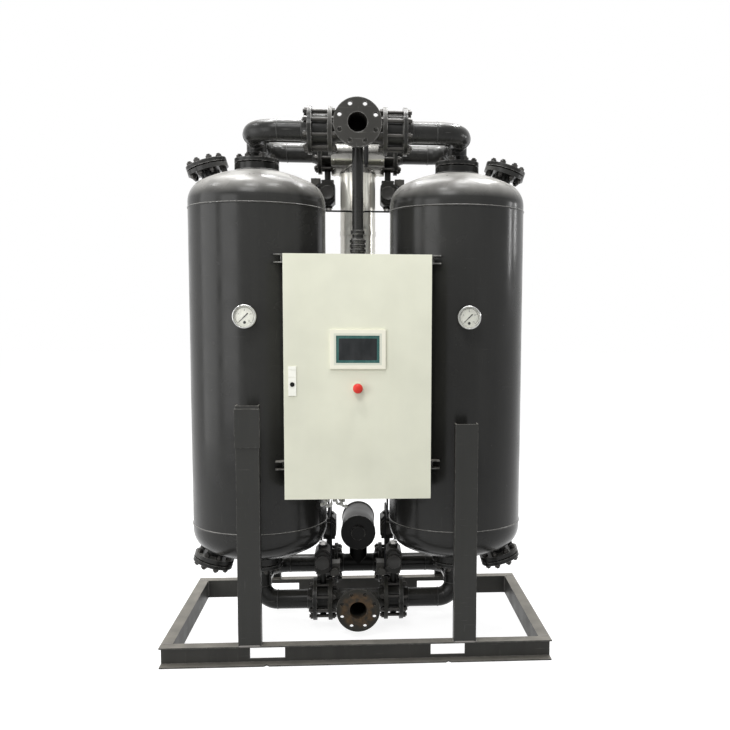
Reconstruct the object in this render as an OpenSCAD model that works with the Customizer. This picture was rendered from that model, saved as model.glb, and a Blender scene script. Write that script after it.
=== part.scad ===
// Twin tower heated desiccant air dryer on a fork lift skid.
// Millimetres, +Z up, front towards -Y, origin on the floor under the middle of the bounding box.

/* [Skid] */
// Overall width of the skid frame
skid_w = 1670; // [1650:5:1700]
// Overall depth of the skid frame
skid_d = 970; // [960:5:980]
// Height of the channel beams
beam_h = 90; // [86:1:94]
// Flange width of the channel beams
beam_b = 50; // [46:1:52]
// Plate thickness of the channel beams
beam_t = 6; // [5:0.5:8]
// Width of a fork pocket
pocket_w = 148; // [130:1:155]
// Height of a fork pocket
pocket_h = 50; // [40:1:56]
// Distance of the fork pockets from the middle
pocket_x = 387; // [375:1:395]

/* [Posts] */
// Width of the post channels
post_w = 96; // [90:1:104]
// Flange width of the post channels
post_b = 48; // [42:1:50]
// Plate thickness of the post channels
post_t = 5; // [4:0.5:7]
// Length of the left and rear posts
post_tall = 1020; // [980:5:1060]
// Length of the right front post
post_short = 940; // [920:5:1000]

/* [Vessels] */
// Outside diameter of the pressure vessels
vessel_d = 616; // [608:2:620]
// Wall thickness of the vessels
vessel_t = 8; // [7:0.5:9]
// Distance of the vessel axes from the middle
vessel_x = 456; // [452:1:462]
// Depth position of the vessel axes
vessel_y = 30; // [26:1:32]
// Height of the lower head seam
seam_low = 525; // [523:1:530]
// Height of the upper head seam
seam_high = 1956; // [1945:1:1958]
// Outward tilt of the fill and drain ports
port_tilt = 17; // [14:0.5:19]
// Distance of the port roots from the vessel axes
port_x = 207; // [200:1:209]
// Neck length of the fill and drain ports
port_neck = 30; // [28:1:40]
// Outside diameter of the port necks
port_d = 76; // [70:1:77]
// Outside diameter of the port flanges
port_flange_d = 185; // [180:1:188]

/* [Pipework] */
// Outside diameter of the main pipes
pipe_d = 89; // [88:0.5:90]
// Bore of the main pipes
bore_d = 80; // [79:0.5:80]
// Outside diameter of the flanges
flange_d = 200; // [196:1:202]
// Thickness of the flanges
flange_t = 20; // [18:1:22]
// Bolt circle diameter of the flanges
bolt_circle = 160; // [160:1:162]
// Diameter of the flange studs
stud_d = 16; // [14:1:16]
// Diameter of the flange holes
hole_d = 18; // [18:0.5:19]
// Height of the upper pipework
outlet_z = 2268; // [2262:1:2275]
// Reach of the outlet flange in front of its header
outlet_reach = 185; // [165:1:190]
// Distance of the outlet header in front of the vessel axes
front_arm = 235; // [230:1:240]
// Distance of the regeneration header behind the vessel axes
rear_arm = 300; // [290:1:310]
// Height of the lower pipework
inlet_z = 135; // [132:1:140]
// Reach of the inlet flange in front of its header
inlet_reach = 180; // [165:1:190]
// Length of the check valves
check_len = 60; // [56:1:64]
// Length of the butterfly valves
wafer_len = 46; // [44:1:50]
// Bend radius of the upper elbows
bend_r = 114; // [108:1:118]
// Bend radius of the lower elbows
short_r = 76; // [72:1:80]
// Outside diameter of the equalising pipe
link_d = 17; // [15:1:20]

/* [Regeneration] */
// Outside diameter of the heater tube
heater_d = 114; // [108:1:118]
// Outside diameter of the upright heater jacket
jacket_d = 172; // [166:1:180]
// Outside diameter of the jacket over the heater tee
tee_jacket_d = 208; // [207:1:214]
// Height of the heater flange
heater_low = 940; // [920:5:960]
// Outside diameter of the purge pipe
purge_d = 48; // [46:1:52]
// Height of the exhaust pipework
exhaust_z = 222; // [219:1:226]
// Outside diameter of the silencer
silencer_d = 160; // [150:1:166]
// Height of the silencer axis
silencer_z = 430; // [424:1:436]

/* [Actuators] */
// Width of the valve actuators
act_w = 72; // [68:1:76]
// Height of the valve actuators
act_h = 114; // [106:1:116]
// Length of the valve actuators
act_len = 150; // [140:1:160]
// Distance from a pipe axis to its actuator
act_gap = 140; // [136:1:144]

/* [Cabinet] */
// Width of the control cabinet
cab_w = 600; // [590:2:600]
// Height of the control cabinet
cab_h = 1000; // [990:2:1010]
// Depth of the control cabinet with its door
cab_d = 200; // [196:1:202]
// Height of the cabinet's underside
cab_z = 728; // [720:1:735]
// Width of the operator panel
hmi_w = 226; // [216:1:236]
// Height of the operator panel
hmi_h = 159; // [150:1:166]
// Diameter of the emergency stop button
estop_d = 40; // [36:1:44]

/* [Gauges] */
// Outside diameter of the pressure gauges
gauge_d = 100; // [96:1:104]
// Height of the pressure gauges
gauge_z = 1475; // [1460:1:1490]

/* [Hidden] */
$fn = 64;

// half of the depth from the stop button's face to the skid's rear edge
half_y = 530;
skid_y0 = half_y - skid_d;
paint = [0.24, 0.24, 0.24];
dark = [0.15, 0.15, 0.15];
cream = [0.87, 0.88, 0.81];
steel = [0.6, 0.6, 0.6];

// vessel heads: a crown arc and a knuckle arc close to a two to one ellipse
vessel_r = vessel_d / 2;
crown_r = 0.904 * vessel_d;
knuckle_r = 0.173 * vessel_d;
knuckle_x = vessel_r - knuckle_r;
crown_drop = sqrt(pow(crown_r - knuckle_r, 2) - pow(knuckle_x, 2));
head_h = crown_r - crown_drop;
skirt_h = 25;
seam_r = 4;
seam_mid = (seam_low + seam_high) / 2;
apex_high = seam_high + skirt_h + head_h;
apex_low = seam_low - skirt_h - head_h;
pad_h = 24;
port_r = port_d / 2;
port_bore_r = port_r - 5;
port_flange_r = port_flange_d / 2;
port_face_r = 58;
port_circle = 145;
pad_high = apex_high + pad_h;
port_z = apex_high - crown_r + sqrt(pow(crown_r, 2) - pow(port_x, 2));
pad_low = apex_low - pad_h;

pipe_r = pipe_d / 2;
bore_r = bore_d / 2;
flange_r = flange_d / 2;
stud_r = stud_d / 2;
hole_r = hole_d / 2;
face_r = 66;
face_t = 2;
hub_r = 54;
hub_l = 26;
gasket_t = 2;
nut_h = 13;
nut_r = 13.8;
stud_out = 19;

// stations of the valves along X, from the tee flanges outwards
check_in = 128;
check_out = check_in + check_len + 2 * gasket_t;
regen_in = 122;
regen_out = regen_in + wafer_len + 2 * gasket_t;
regen_x = (regen_in + regen_out) / 2;
inlet_in = 142;
inlet_out = inlet_in + wafer_len + 2 * gasket_t;
inlet_x = (inlet_in + inlet_out) / 2;
outlet_y = vessel_y - front_arm;
regen_y = vessel_y + rear_arm;
heater_r = heater_d / 2;
purge_r = purge_d / 2;
silencer_y = 120;
silencer_l = 330;

stem_r = 7;
slack = 0.05;

estop_out = 38;
door_y = estop_out - half_y;
door_t = 19;
door_gap = 4;
sheet_t = 2;
body_y = door_y + door_t + door_gap;
back_y = door_y + cab_d;
cab_x = cab_w / 2;
hinge_x = cab_x - 8;
hinge_y = door_y + 9;
hinge_h = 34;
hinge_z = [cab_z + 150, cab_z + cab_h - 190];
pin_r = 3;
hmi_zc = cab_z + 0.617 * cab_h;
estop_zc = cab_z + 0.459 * cab_h;
lock_zc = cab_z + 0.474 * cab_h;
lock_x = -cab_x + 35;
gauge_x = vessel_x + 17;
gauge_y = vessel_y - vessel_d / 2 - 72;

module along_x(p, h, r) {
    translate(p) rotate([0, 90, 0]) cylinder(h = h, r = r);
}

module along_y(p, h, r) {
    translate(p) rotate([-90, 0, 0]) cylinder(h = h, r = r);
}

module along_z(p, h, r) {
    translate(p) cylinder(h = h, r = r);
}

module box(lo, hi) {
    translate(lo) cube(hi - lo);
}

// quarter bend in the XY plane, from the angle a to a + 90
module bend(p, a, big, r) {
    translate(p) rotate([0, 0, a]) rotate_extrude(angle = 90) translate([big, 0]) circle(r);
}

// channel section with its open side towards +X and its web along Y at x = 0
module channel(h, b, t) {
    polygon([[0, 0], [b, 0], [b, t], [t, t], [t, h - t], [b, h - t], [b, h], [0, h]]);
}

// weld neck flange: face at z = 0, hub towards +Z
module flange() {
    rotate_extrude() polygon([[0, 0], [face_r, 0], [face_r, face_t], [flange_r, face_t],
        [flange_r, flange_t], [hub_r, flange_t], [pipe_r + 1, flange_t + hub_l], [0, flange_t + hub_l]]);
}

// plate of a port flange or of its blind cover: face at z = 0
module port_plate() {
    rotate_extrude() polygon([[0, 0], [port_face_r, 0], [port_face_r, face_t], [port_flange_r, face_t],
        [port_flange_r, flange_t], [0, flange_t]]);
}

module flat_flange() {
    rotate_extrude() polygon([[0, 0], [flange_r, 0], [flange_r, flange_t], [hub_r, flange_t],
        [pipe_r + 1, flange_t + hub_l], [0, flange_t + hub_l]]);
}

module on_circle(d = bolt_circle) {
    for (i = [0:7]) rotate([0, 0, 22.5 + 45 * i]) translate([d / 2, 0, 0]) children();
}

module flange_holes(d = bolt_circle) {
    on_circle(d) translate([0, 0, -1]) cylinder(h = flange_t + 2, r = hole_r);
}

module gasket(outer = face_r, inner = pipe_r) {
    difference() {
        cylinder(h = gasket_t, r = outer);
        translate([0, 0, -1]) cylinder(h = gasket_t + 2, r = inner);
    }
}

// studs with a nut at both ends; the clamped stack runs from z = 0 to z = l
module studs(l, d = bolt_circle) {
    on_circle(d) {
        translate([0, 0, -stud_out]) cylinder(h = l + 2 * stud_out, r = stud_r);
        translate([0, 0, -nut_h]) cylinder(h = nut_h, r = nut_r, $fn = 6);
        translate([0, 0, l]) cylinder(h = nut_h, r = nut_r, $fn = 6);
    }
}

// studs screwed into a pad below z = 0, nuts above z = l
module pad_studs(l) {
    on_circle() {
        translate([0, 0, -16]) cylinder(h = 16 + l + stud_out, r = stud_r);
        translate([0, 0, l]) cylinder(h = nut_h, r = nut_r, $fn = 6);
    }
}

// local frame of the left vessel's fill port: z = 0 on the head, +Z outwards
module at_fill_port() {
    translate([-vessel_x - port_x, vessel_y, port_z]) rotate([0, -port_tilt, 0]) children();
}

module at_drain_port() {
    translate([0, 0, seam_mid]) mirror([0, 0, 1]) translate([0, 0, -seam_mid]) at_fill_port() children();
}

module both_sides() {
    children();
    mirror([1, 0, 0]) children();
}

// skid
module beam_pocket(x, y) {
    box([x - pocket_w / 2, y, (beam_h - pocket_h) / 2],
        [x + pocket_w / 2, y + 40, (beam_h + pocket_h) / 2]);
}

// cross beam with its web at y = 0 and its open side towards +Y
module cross_beam() {
    rotate([90, 0, 90]) linear_extrude(height = skid_w, center = true) channel(beam_h, beam_b, beam_t);
}

module front_beam() {
    color(paint) difference() {
        translate([0, skid_y0 + beam_b, 0]) mirror([0, 1, 0]) cross_beam();
        for (s = [-1, 1]) {
            beam_pocket(s * pocket_x, skid_y0 + beam_b - 20);
            translate([s * pocket_x, skid_y0, -1]) linear_extrude(height = beam_t + 2)
                polygon([[-13, -1], [13, -1], [0, 12]]);
        }
    }
}

module rear_beam() {
    color(paint) difference() {
        translate([0, half_y - beam_b, 0]) cross_beam();
        for (s = [-1, 1]) beam_pocket(s * pocket_x, half_y - beam_b - 20);
    }
}

module side_beams() {
    color(paint) both_sides() translate([skid_w / 2 - beam_b, half_y - beam_b, 0]) rotate([90, 0, 0])
        linear_extrude(height = skid_d - 2 * beam_b) channel(beam_h, beam_b, beam_t);
}

// post channel, web at y = 0, open side towards +Y
module post(h) {
    translate([post_w / 2, 0, 0]) rotate([0, 0, 90]) linear_extrude(height = h)
        channel(post_w, post_b, post_t);
}

module front_posts() {
    color(paint) {
        translate([-vessel_x, skid_y0 + 1, beam_h]) post(post_tall);
        box([-vessel_x - post_w / 2 - 4, skid_y0 + 1 - post_t, beam_h + post_tall - 175],
            [-vessel_x + post_w / 2 + 4, skid_y0 + 1, beam_h + post_tall - 13]);
        translate([vessel_x, skid_y0 + 1, beam_h]) post(post_short);
    }
}

module rear_posts() {
    color(paint)
        for (s = [-1, 1]) translate([s * vessel_x, half_y - 1, beam_h]) mirror([0, 1, 0]) post(post_tall);
}

// half outline of a head above its skirt, pushed inwards by t
module head_area(t) {
    intersection() {
        union() {
            intersection() {
                translate([0, -crown_drop]) circle(crown_r - t);
                polygon([[0, -crown_drop], [2 * knuckle_x, crown_drop], [0, 3 * crown_drop]]);
            }
            translate([knuckle_x, 0]) circle(knuckle_r - t);
        }
        square([vessel_d, vessel_d]);
    }
}

module shell_area(t) {
    translate([0, seam_high + skirt_h]) head_area(t);
    translate([0, seam_low - skirt_h]) mirror([0, 1]) head_area(t);
    translate([0, seam_low - skirt_h]) square([vessel_r - t, seam_high - seam_low + 2 * skirt_h]);
}

// revolved vessel section with both studded pads and the weld seams
module vessel_area() {
    difference() {
        union() {
            difference() {
                shell_area(0);
                shell_area(vessel_t);
            }
            translate([0, apex_high - 9]) square([flange_r, pad_h + 9 - face_t]);
            translate([0, apex_high]) square([face_r, pad_h]);
            translate([0, apex_low - pad_h + face_t]) square([flange_r, pad_h + 9 - face_t]);
            translate([0, apex_low - pad_h]) square([face_r, pad_h]);
            for (z = [seam_low, seam_high]) translate([vessel_r - 1, z]) circle(seam_r);
        }
        translate([0, apex_high - 60]) square([bore_r, pad_h + 100]);
        translate([0, apex_low + 60 - pad_h - 100]) square([bore_r, pad_h + 100]);
    }
}

// upright plate from a post to the vessel wall, at the offset x from the vessel axis
module lug(x, z0, y0, y1) {
    box([-vessel_x + x - 5, y0, z0], [-vessel_x + x + 5, y1, z0 + 260]);
}

module lugs() {
    difference() {
        for (x = [-24, 24]) {
            lug(x, beam_h + 640, skid_y0 + 1 + post_t, vessel_y - vessel_r + 12);
            lug(x, beam_h + 640, vessel_y + vessel_r - 12, half_y - 1 - post_t);
        }
        along_z([-vessel_x, vessel_y, beam_h], post_tall, vessel_r - 2);
    }
}

module vessel() {
    difference() {
        union() {
            translate([-vessel_x, vessel_y, 0]) rotate_extrude() vessel_area();
            at_fill_port() port_outer();
            at_drain_port() port_outer();
            lugs();
            along_y([-gauge_x, vessel_y - vessel_r - 26, gauge_z], 30, 16);
        }
        at_fill_port() port_inner();
        at_drain_port() port_inner();
        translate([-vessel_x, vessel_y, pad_high - 18]) on_circle() cylinder(h = 20, r = stud_r + 0.5);
        translate([-vessel_x, vessel_y, pad_low - 2]) on_circle() cylinder(h = 20, r = stud_r + 0.5);
        along_y([-gauge_x, vessel_y - vessel_r - 30, gauge_z], 50, stem_r);
    }
}

module port_outer() {
    translate([0, 0, -8]) cylinder(h = port_neck + 10, r = port_r);
    translate([0, 0, port_neck + flange_t]) mirror([0, 0, 1]) port_plate();
}

module port_inner() {
    translate([0, 0, -40]) cylinder(h = port_neck + 70, r = port_bore_r);
    translate([0, 0, port_neck]) flange_holes(port_circle);
}

module left_vessel() {
    color(paint) vessel();
}

module right_vessel() {
    color(paint) mirror([1, 0, 0]) vessel();
}

module desiccant_beds() {
    color([0.9, 0.88, 0.82])
        both_sides() along_z([-vessel_x, vessel_y, seam_low], seam_high - seam_low - 60,
        vessel_r - vessel_t - 0.5);
}

module blind_cover() {
    translate([0, 0, port_neck + flange_t + gasket_t]) difference() {
        port_plate();
        flange_holes(port_circle);
    }
}

module port_covers() {
    color(dark) both_sides() {
        at_fill_port() blind_cover();
        at_drain_port() blind_cover();
    }
}

// upper pipework of the left side, with a stub for the equalising pipe
link_x = vessel_x - pipe_r - 12;
module top_run(r, e) {
    along_x([-vessel_x + bend_r, outlet_y, outlet_z], vessel_x - bend_r - check_out + e, r);
    bend([-vessel_x + bend_r, outlet_y + bend_r, outlet_z], 180, bend_r, r);
    along_y([-vessel_x, outlet_y + bend_r, outlet_z], regen_y - outlet_y - 2 * bend_r, r);
    bend([-vessel_x + bend_r, regen_y - bend_r, outlet_z], 90, bend_r, r);
    along_x([-vessel_x + bend_r, regen_y, outlet_z], vessel_x - bend_r - regen_out + e, r);
    along_z([-vessel_x, vessel_y, pad_high + gasket_t - e], outlet_z - pad_high - gasket_t + e, r);
}

module top_flanges() {
    translate([-check_out, outlet_y, outlet_z]) rotate([0, -90, 0]) children();
    translate([-regen_out, regen_y, outlet_z]) rotate([0, -90, 0]) children();
    translate([-vessel_x, vessel_y, pad_high + gasket_t]) children();
}

module top_header() {
    difference() {
        union() {
            top_run(pipe_r, 0);
            top_flanges() flange();
            along_x([-vessel_x, vessel_y, outlet_z], vessel_x - link_x, link_d / 2 + 4);
        }
        top_run(bore_r, 1);
        top_flanges() flange_holes();
    }
}

module left_top_header() {
    color(dark) top_header();
}

module right_top_header() {
    color(dark) mirror([1, 0, 0]) top_header();
}

// thin pipe between the two risers with its stop valve in the middle
module equalising_pipe() {
    color(dark) {
        along_x([-link_x, vessel_y, outlet_z], 2 * link_x, link_d / 2);
        along_x([-26, vessel_y, outlet_z], 52, link_d);
        both_sides() along_x([-40, vessel_y, outlet_z], 16, 0.8 * link_d, $fn = 6);
        along_z([0, vessel_y, outlet_z], 40, 0.6 * link_d);
        along_z([0, vessel_y, outlet_z + 36], 34, 1.1 * link_d);
    }
}

// outlet tee with a stub below it for the purge pipe
purge_top = outlet_z - pipe_r - 10;
module outlet_tee() {
    color(dark) difference() {
        union() {
            along_x([-check_in + flange_t, outlet_y, outlet_z], 2 * (check_in - flange_t), pipe_r);
            along_y([0, outlet_y - outlet_reach + flange_t, outlet_z], outlet_reach - flange_t, pipe_r);
            both_sides() translate([-check_in, outlet_y, outlet_z]) rotate([0, 90, 0]) flange();
            translate([0, outlet_y - outlet_reach, outlet_z]) rotate([-90, 0, 0]) flat_flange();
            along_z([0, outlet_y, purge_top], outlet_z - purge_top, purge_r + 6);
        }
        along_x([-check_in - 1, outlet_y, outlet_z], 2 * check_in + 2, bore_r);
        along_y([0, outlet_y - outlet_reach - 1, outlet_z], outlet_reach + 1, bore_r);
        both_sides() translate([-check_in, outlet_y, outlet_z]) rotate([0, 90, 0]) flange_holes();
        translate([0, outlet_y - outlet_reach, outlet_z]) rotate([-90, 0, 0]) flange_holes();
        along_z([0, outlet_y, outlet_z - pipe_d], pipe_d, purge_r - 4);
    }
}

// check valve of the left side, flow towards +X
seat_l = 16;
chamber_r = 46;
guide_r = 5;
module check_valve() {
    translate([-check_out + gasket_t, outlet_y, outlet_z]) rotate([0, 90, 0]) difference() {
        union() {
            difference() {
                cylinder(h = check_len, r = face_r);
                translate([0, 0, -1]) cylinder(h = check_len, r = bore_r - 8);
                translate([0, 0, seat_l]) cylinder(h = check_len, r = chamber_r);
            }
            translate([0, 0, check_len - 12]) cylinder(h = 10, r = 11);
            intersection() {
                for (a = [0, 120, 240]) rotate([0, 0, a]) translate([0, -3, check_len - 11])
                    cube([face_r, 6, 8]);
                cylinder(h = check_len, r = chamber_r + 2);
            }
        }
        translate([0, 0, check_len - 20]) cylinder(h = 30, r = guide_r + slack);
    }
}

module check_disc() {
    translate([-check_out + gasket_t + seat_l + 0.3, outlet_y, outlet_z]) rotate([0, 90, 0]) {
        cylinder(h = 6, r = bore_r - 2);
        cylinder(h = check_len - seat_l - 4, r = guide_r);
    }
}

module left_check_valve() {
    color(dark) check_valve();
}

module right_check_valve() {
    color(dark) mirror([1, 0, 0]) check_valve();
}

module left_check_disc() {
    color(steel) check_disc();
}

module right_check_disc() {
    color(steel) mirror([1, 0, 0]) check_disc();
}

// butterfly valve in its own frame: flow along X, stem along +Z
module wafer_body() {
    difference() {
        union() {
            along_x([-wafer_len / 2, 0, 0], wafer_len, face_r);
            along_z([0, 0, 50], act_gap - 55, 15);
            along_z([0, 0, -78], 40, 15);
            box([-30, -32, act_gap - 10], [30, 32, act_gap]);
        }
        along_x([-wafer_len, 0, 0], 2 * wafer_len, bore_r);
        along_z([0, 0, -70], act_gap + 80, stem_r + slack);
    }
}

module wafer_disc() {
    along_x([-4, 0, 0], 8, bore_r - 0.8);
    along_z([0, 0, -bore_r + 2], 2 * bore_r - 4, 11);
    along_z([0, 0, -68], 68 + act_gap + act_h + 20, stem_r);
    along_z([0, 0, act_gap + act_h + 10.5], 10, 19);
    box([-3, -17, act_gap + act_h + 20], [3, 17, act_gap + act_h + 25]);
}

// rack and pinion actuator, long along Y, with its pilot valve and coil on the side sx
pilot_w = 46;
pilot_y = 36;
pilot_h = 56;
pilot_low = act_gap - 16;
coil_r = 17;
module actuator(sx) {
    difference() {
        union() {
            translate([0, act_len / 2 - 12, act_gap]) rotate([90, 0, 0])
                linear_extrude(height = act_len - 24) chamfered(act_w, act_h, 18);
            for (s = [-1, 1]) {
                translate([0, s * (act_len / 2 - 6) + 6, act_gap]) rotate([90, 0, 0])
                    linear_extrude(height = 12) chamfered(act_w - 5, act_h - 8, 24);
                along_y([0, s * (act_len / 2 + 4) - 6, act_gap + act_h / 2], 12, act_w / 2 - 4);
            }
            along_z([0, 0, act_gap + act_h - 7], 17, 23);
            translate([sx * (act_w / 2 + pilot_w / 2 - 2), 0, pilot_low]) {
                box([-pilot_w / 2, -pilot_y, 0], [pilot_w / 2, pilot_y, pilot_h]);
                along_y([0, -pilot_y - 26, 20], 30, coil_r);
                along_y([0, pilot_y - 4, 20], 30, coil_r - 4);
            }
        }
        along_z([0, 0, act_gap - 1], act_h + 20, stem_r + slack);
    }
}

// upright rectangle standing on y = 0 with cut corners
module chamfered(w, h, c) {
    translate([-w / 2, 0]) polygon([[c, 0], [w - c, 0], [w, c], [w, h - c], [w - c, h], [c, h],
        [0, h - c], [0, c]]);
}

// the regeneration valves hang with their actuators below the pipe
module at_regen_valve() {
    translate([-regen_x, regen_y, outlet_z]) mirror([0, 0, 1]) children();
}

module at_inlet_valve() {
    translate([-inlet_x, vessel_y, inlet_z]) children();
}

module left_regen_valve() {
    color(dark) at_regen_valve() wafer_body();
}

module right_regen_valve() {
    color(dark) mirror([1, 0, 0]) at_regen_valve() wafer_body();
}

module left_regen_disc() {
    color(steel) at_regen_valve() wafer_disc();
}

module right_regen_disc() {
    color(steel) mirror([1, 0, 0]) at_regen_valve() wafer_disc();
}

module left_regen_actuator() {
    color(dark) at_regen_valve() actuator(-1);
}

module right_regen_actuator() {
    color(dark) mirror([1, 0, 0]) at_regen_valve() actuator(-1);
}

module left_inlet_valve() {
    color(dark) at_inlet_valve() wafer_body();
}

module right_inlet_valve() {
    color(dark) mirror([1, 0, 0]) at_inlet_valve() wafer_body();
}

module left_inlet_disc() {
    color(steel) at_inlet_valve() wafer_disc();
}

module right_inlet_disc() {
    color(steel) mirror([1, 0, 0]) at_inlet_valve() wafer_disc();
}

module left_inlet_actuator() {
    color(dark) at_inlet_valve() actuator(1);
}

module right_inlet_actuator() {
    color(dark) mirror([1, 0, 0]) at_inlet_valve() actuator(1);
}

// heater: pressure tube with the regeneration tee on top, clad jacket and heating element
probe_x = 40;
probe_r = 4;
cap_z = outlet_z + pipe_r + 12;
purge_z = heater_low + 90;
module heater_tube() {
    color(dark) difference() {
        union() {
            along_x([-regen_in + flange_t, regen_y, outlet_z], 2 * (regen_in - flange_t), pipe_r);
            both_sides() translate([-regen_in, regen_y, outlet_z]) rotate([0, 90, 0]) flange();
            along_z([0, regen_y, heater_low], cap_z - heater_low, heater_r);
            along_z([0, regen_y, heater_low - flange_t + face_t], flange_t - face_t, flange_r);
            along_z([0, regen_y, heater_low - flange_t], flange_t, face_r);
        }
        along_x([-regen_in - 1, regen_y, outlet_z], 2 * regen_in + 2, bore_r);
        along_z([0, regen_y, heater_low - flange_t - 1], cap_z - heater_low + flange_t - 5, heater_r - 6);
        both_sides() translate([-regen_in, regen_y, outlet_z]) rotate([0, 90, 0]) flange_holes();
        translate([0, regen_y, heater_low - flange_t]) flange_holes();
        along_y([0, regen_y - heater_r - 10, purge_z], 40, purge_r - 4);
        along_y([probe_x, regen_y - 60, outlet_z - 6], 60, probe_r);
    }
}

jacket_r = jacket_d / 2;
tee_jacket_r = tee_jacket_d / 2;
skin_t = 2;
tee_jacket_x = 128;
module heater_jacket() {
    color([0.78, 0.78, 0.76]) difference() {
        union() {
            along_x([-tee_jacket_x, regen_y, outlet_z], 2 * tee_jacket_x, tee_jacket_r);
            along_z([0, regen_y, heater_low + 34], outlet_z - heater_low - 34, jacket_r);
            for (z = [heater_low + 34, purge_z + 420, purge_z + 840])
                along_z([0, regen_y, z], 22, jacket_r + 2);
            for (s = [-1, 1])
                along_x([s * (tee_jacket_x - 12) - 10, regen_y, outlet_z], 20, tee_jacket_r + 2);
        }
        along_x([-tee_jacket_x + skin_t, regen_y, outlet_z],
            2 * (tee_jacket_x - skin_t), tee_jacket_r - skin_t);
        along_x([-tee_jacket_x - 30, regen_y, outlet_z], 2 * tee_jacket_x + 60, 91);
        along_z([0, regen_y, heater_low + 34 + skin_t], outlet_z - heater_low - 34, jacket_r - skin_t);
        along_z([0, regen_y, heater_low], 60, heater_r);
        along_y([0, regen_y - jacket_r - 10, purge_z], 60, purge_r + 1);
        along_y([probe_x, regen_y - tee_jacket_r - 10, outlet_z - 6], 60, 2 * probe_r);
    }
}

element_top = outlet_z - 300;
module heater_element() {
    color(steel) {
        difference() {
            union() {
                along_z([0, regen_y, heater_low - 2 * flange_t - gasket_t], flange_t - face_t, flange_r);
                along_z([0, regen_y, heater_low - 2 * flange_t - gasket_t], flange_t, face_r);
                along_z([0, regen_y, heater_low - 2 * flange_t - gasket_t - 110], 112, 58);
                for (a = [0, 60, 120]) translate([0, regen_y, 0]) rotate([0, 0, a]) {
                    for (s = [-1, 1]) along_z([s * 30, 0, heater_low - flange_t - gasket_t - 2],
                        element_top - heater_low + flange_t + 4, 5);
                }
                along_z([0, regen_y, element_top - 12], 10, 40);
            }
            translate([0, regen_y, heater_low - 2 * flange_t - gasket_t]) flange_holes();
        }
    }
}

// purge pipe from the outlet tee down to the heater, with its stop valve
union_z = 1735;
purge_bend = 76;
module purge_run(r, e) {
    along_z([0, outlet_y, purge_z + purge_bend], outlet_z - purge_z - purge_bend, r);
    translate([0, outlet_y + purge_bend, purge_z + purge_bend]) rotate([0, 90, 0]) rotate([0, 0, -90])
        rotate_extrude(angle = 90) translate([purge_bend, 0]) circle(r);
    along_y([0, outlet_y + purge_bend, purge_z], regen_y - outlet_y - purge_bend - heater_r + e, r);
}

module purge_line() {
    color(dark) difference() {
        union() {
            purge_run(purge_r, 5);
            for (i = [0:3]) along_z([0, outlet_y, union_z + 20 * i], 12, 35);
            along_z([0, outlet_y, union_z], 78, 30);
            along_z([0, outlet_y, union_z + 96], 16, purge_r + 6);
        }
        purge_run(purge_r - 4, 10);
        box([-pipe_d, outlet_y - pipe_d, purge_top], [pipe_d, outlet_y + pipe_d, outlet_z + 1]);
        along_z([0, regen_y, heater_low], purge_z, heater_r);
    }
}

module temperature_probe() {
    color(dark) translate([probe_x, regen_y - tee_jacket_r, outlet_z - 6]) {
        along_y([0, -34, 0], tee_jacket_r + 20, probe_r);
        along_y([0, -26, 0], 18, 9);
        along_z([0, -40, -64], 84, 11);
        along_z([0, -40, -80], 20, 7);
    }
}

// lower pipework of the left side: the inlet run, and the exhaust run round the back
module bottom_run(r, e) {
    along_x([-vessel_x + short_r, vessel_y, inlet_z], vessel_x - short_r - inlet_out + e, r);
    translate([-vessel_x + short_r, vessel_y, inlet_z + short_r]) rotate([90, 0, 0]) rotate([0, 0, 180])
        rotate_extrude(angle = 90) translate([short_r, 0]) circle(r);
    along_z([-vessel_x, vessel_y, inlet_z + short_r], pad_low - gasket_t - inlet_z - short_r + e, r);
    along_y([-vessel_x, vessel_y, exhaust_z], rear_arm - bend_r, r);
    bend([-vessel_x + bend_r, regen_y - bend_r, exhaust_z], 90, bend_r, r);
    along_x([-vessel_x + bend_r, regen_y, exhaust_z], vessel_x - bend_r - regen_out + e, r);
}

module bottom_flanges() {
    translate([-inlet_out, vessel_y, inlet_z]) rotate([0, -90, 0]) children();
    translate([-regen_out, regen_y, exhaust_z]) rotate([0, -90, 0]) children();
    translate([-vessel_x, vessel_y, pad_low - gasket_t]) rotate([180, 0, 0]) children();
}

module bottom_header() {
    difference() {
        union() {
            bottom_run(pipe_r, 0);
            bottom_flanges() flange();
        }
        bottom_run(bore_r, 1);
        bottom_flanges() flange_holes();
    }
}

module left_bottom_header() {
    color(dark) bottom_header();
}

module right_bottom_header() {
    color(dark) mirror([1, 0, 0]) bottom_header();
}

module inlet_tee() {
    color(dark) difference() {
        union() {
            along_x([-inlet_in + flange_t, vessel_y, inlet_z], 2 * (inlet_in - flange_t), pipe_r);
            along_y([0, vessel_y - inlet_reach + flange_t, inlet_z], inlet_reach - flange_t, pipe_r);
            both_sides() translate([-inlet_in, vessel_y, inlet_z]) rotate([0, 90, 0]) flange();
            translate([0, vessel_y - inlet_reach, inlet_z]) rotate([-90, 0, 0]) flat_flange();
        }
        along_x([-inlet_in - 1, vessel_y, inlet_z], 2 * inlet_in + 2, bore_r);
        along_y([0, vessel_y - inlet_reach - 1, inlet_z], inlet_reach + 1, bore_r);
        both_sides() translate([-inlet_in, vessel_y, inlet_z]) rotate([0, 90, 0]) flange_holes();
        translate([0, vessel_y - inlet_reach, inlet_z]) rotate([-90, 0, 0]) flange_holes();
    }
}

// exhaust valves: butterfly valves with their actuators on top, disc and stem joined to the body
module exhaust_valve() {
    translate([-regen_x, regen_y, exhaust_z]) {
        wafer_body();
        actuator(-1);
        along_x([-4, 0, 0], 8, bore_r + 1);
        along_z([0, 0, -70], act_gap + act_h + 85, stem_r + 1);
    }
}

module exhaust_valves() {
    color(dark) both_sides() exhaust_valve();
}

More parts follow.
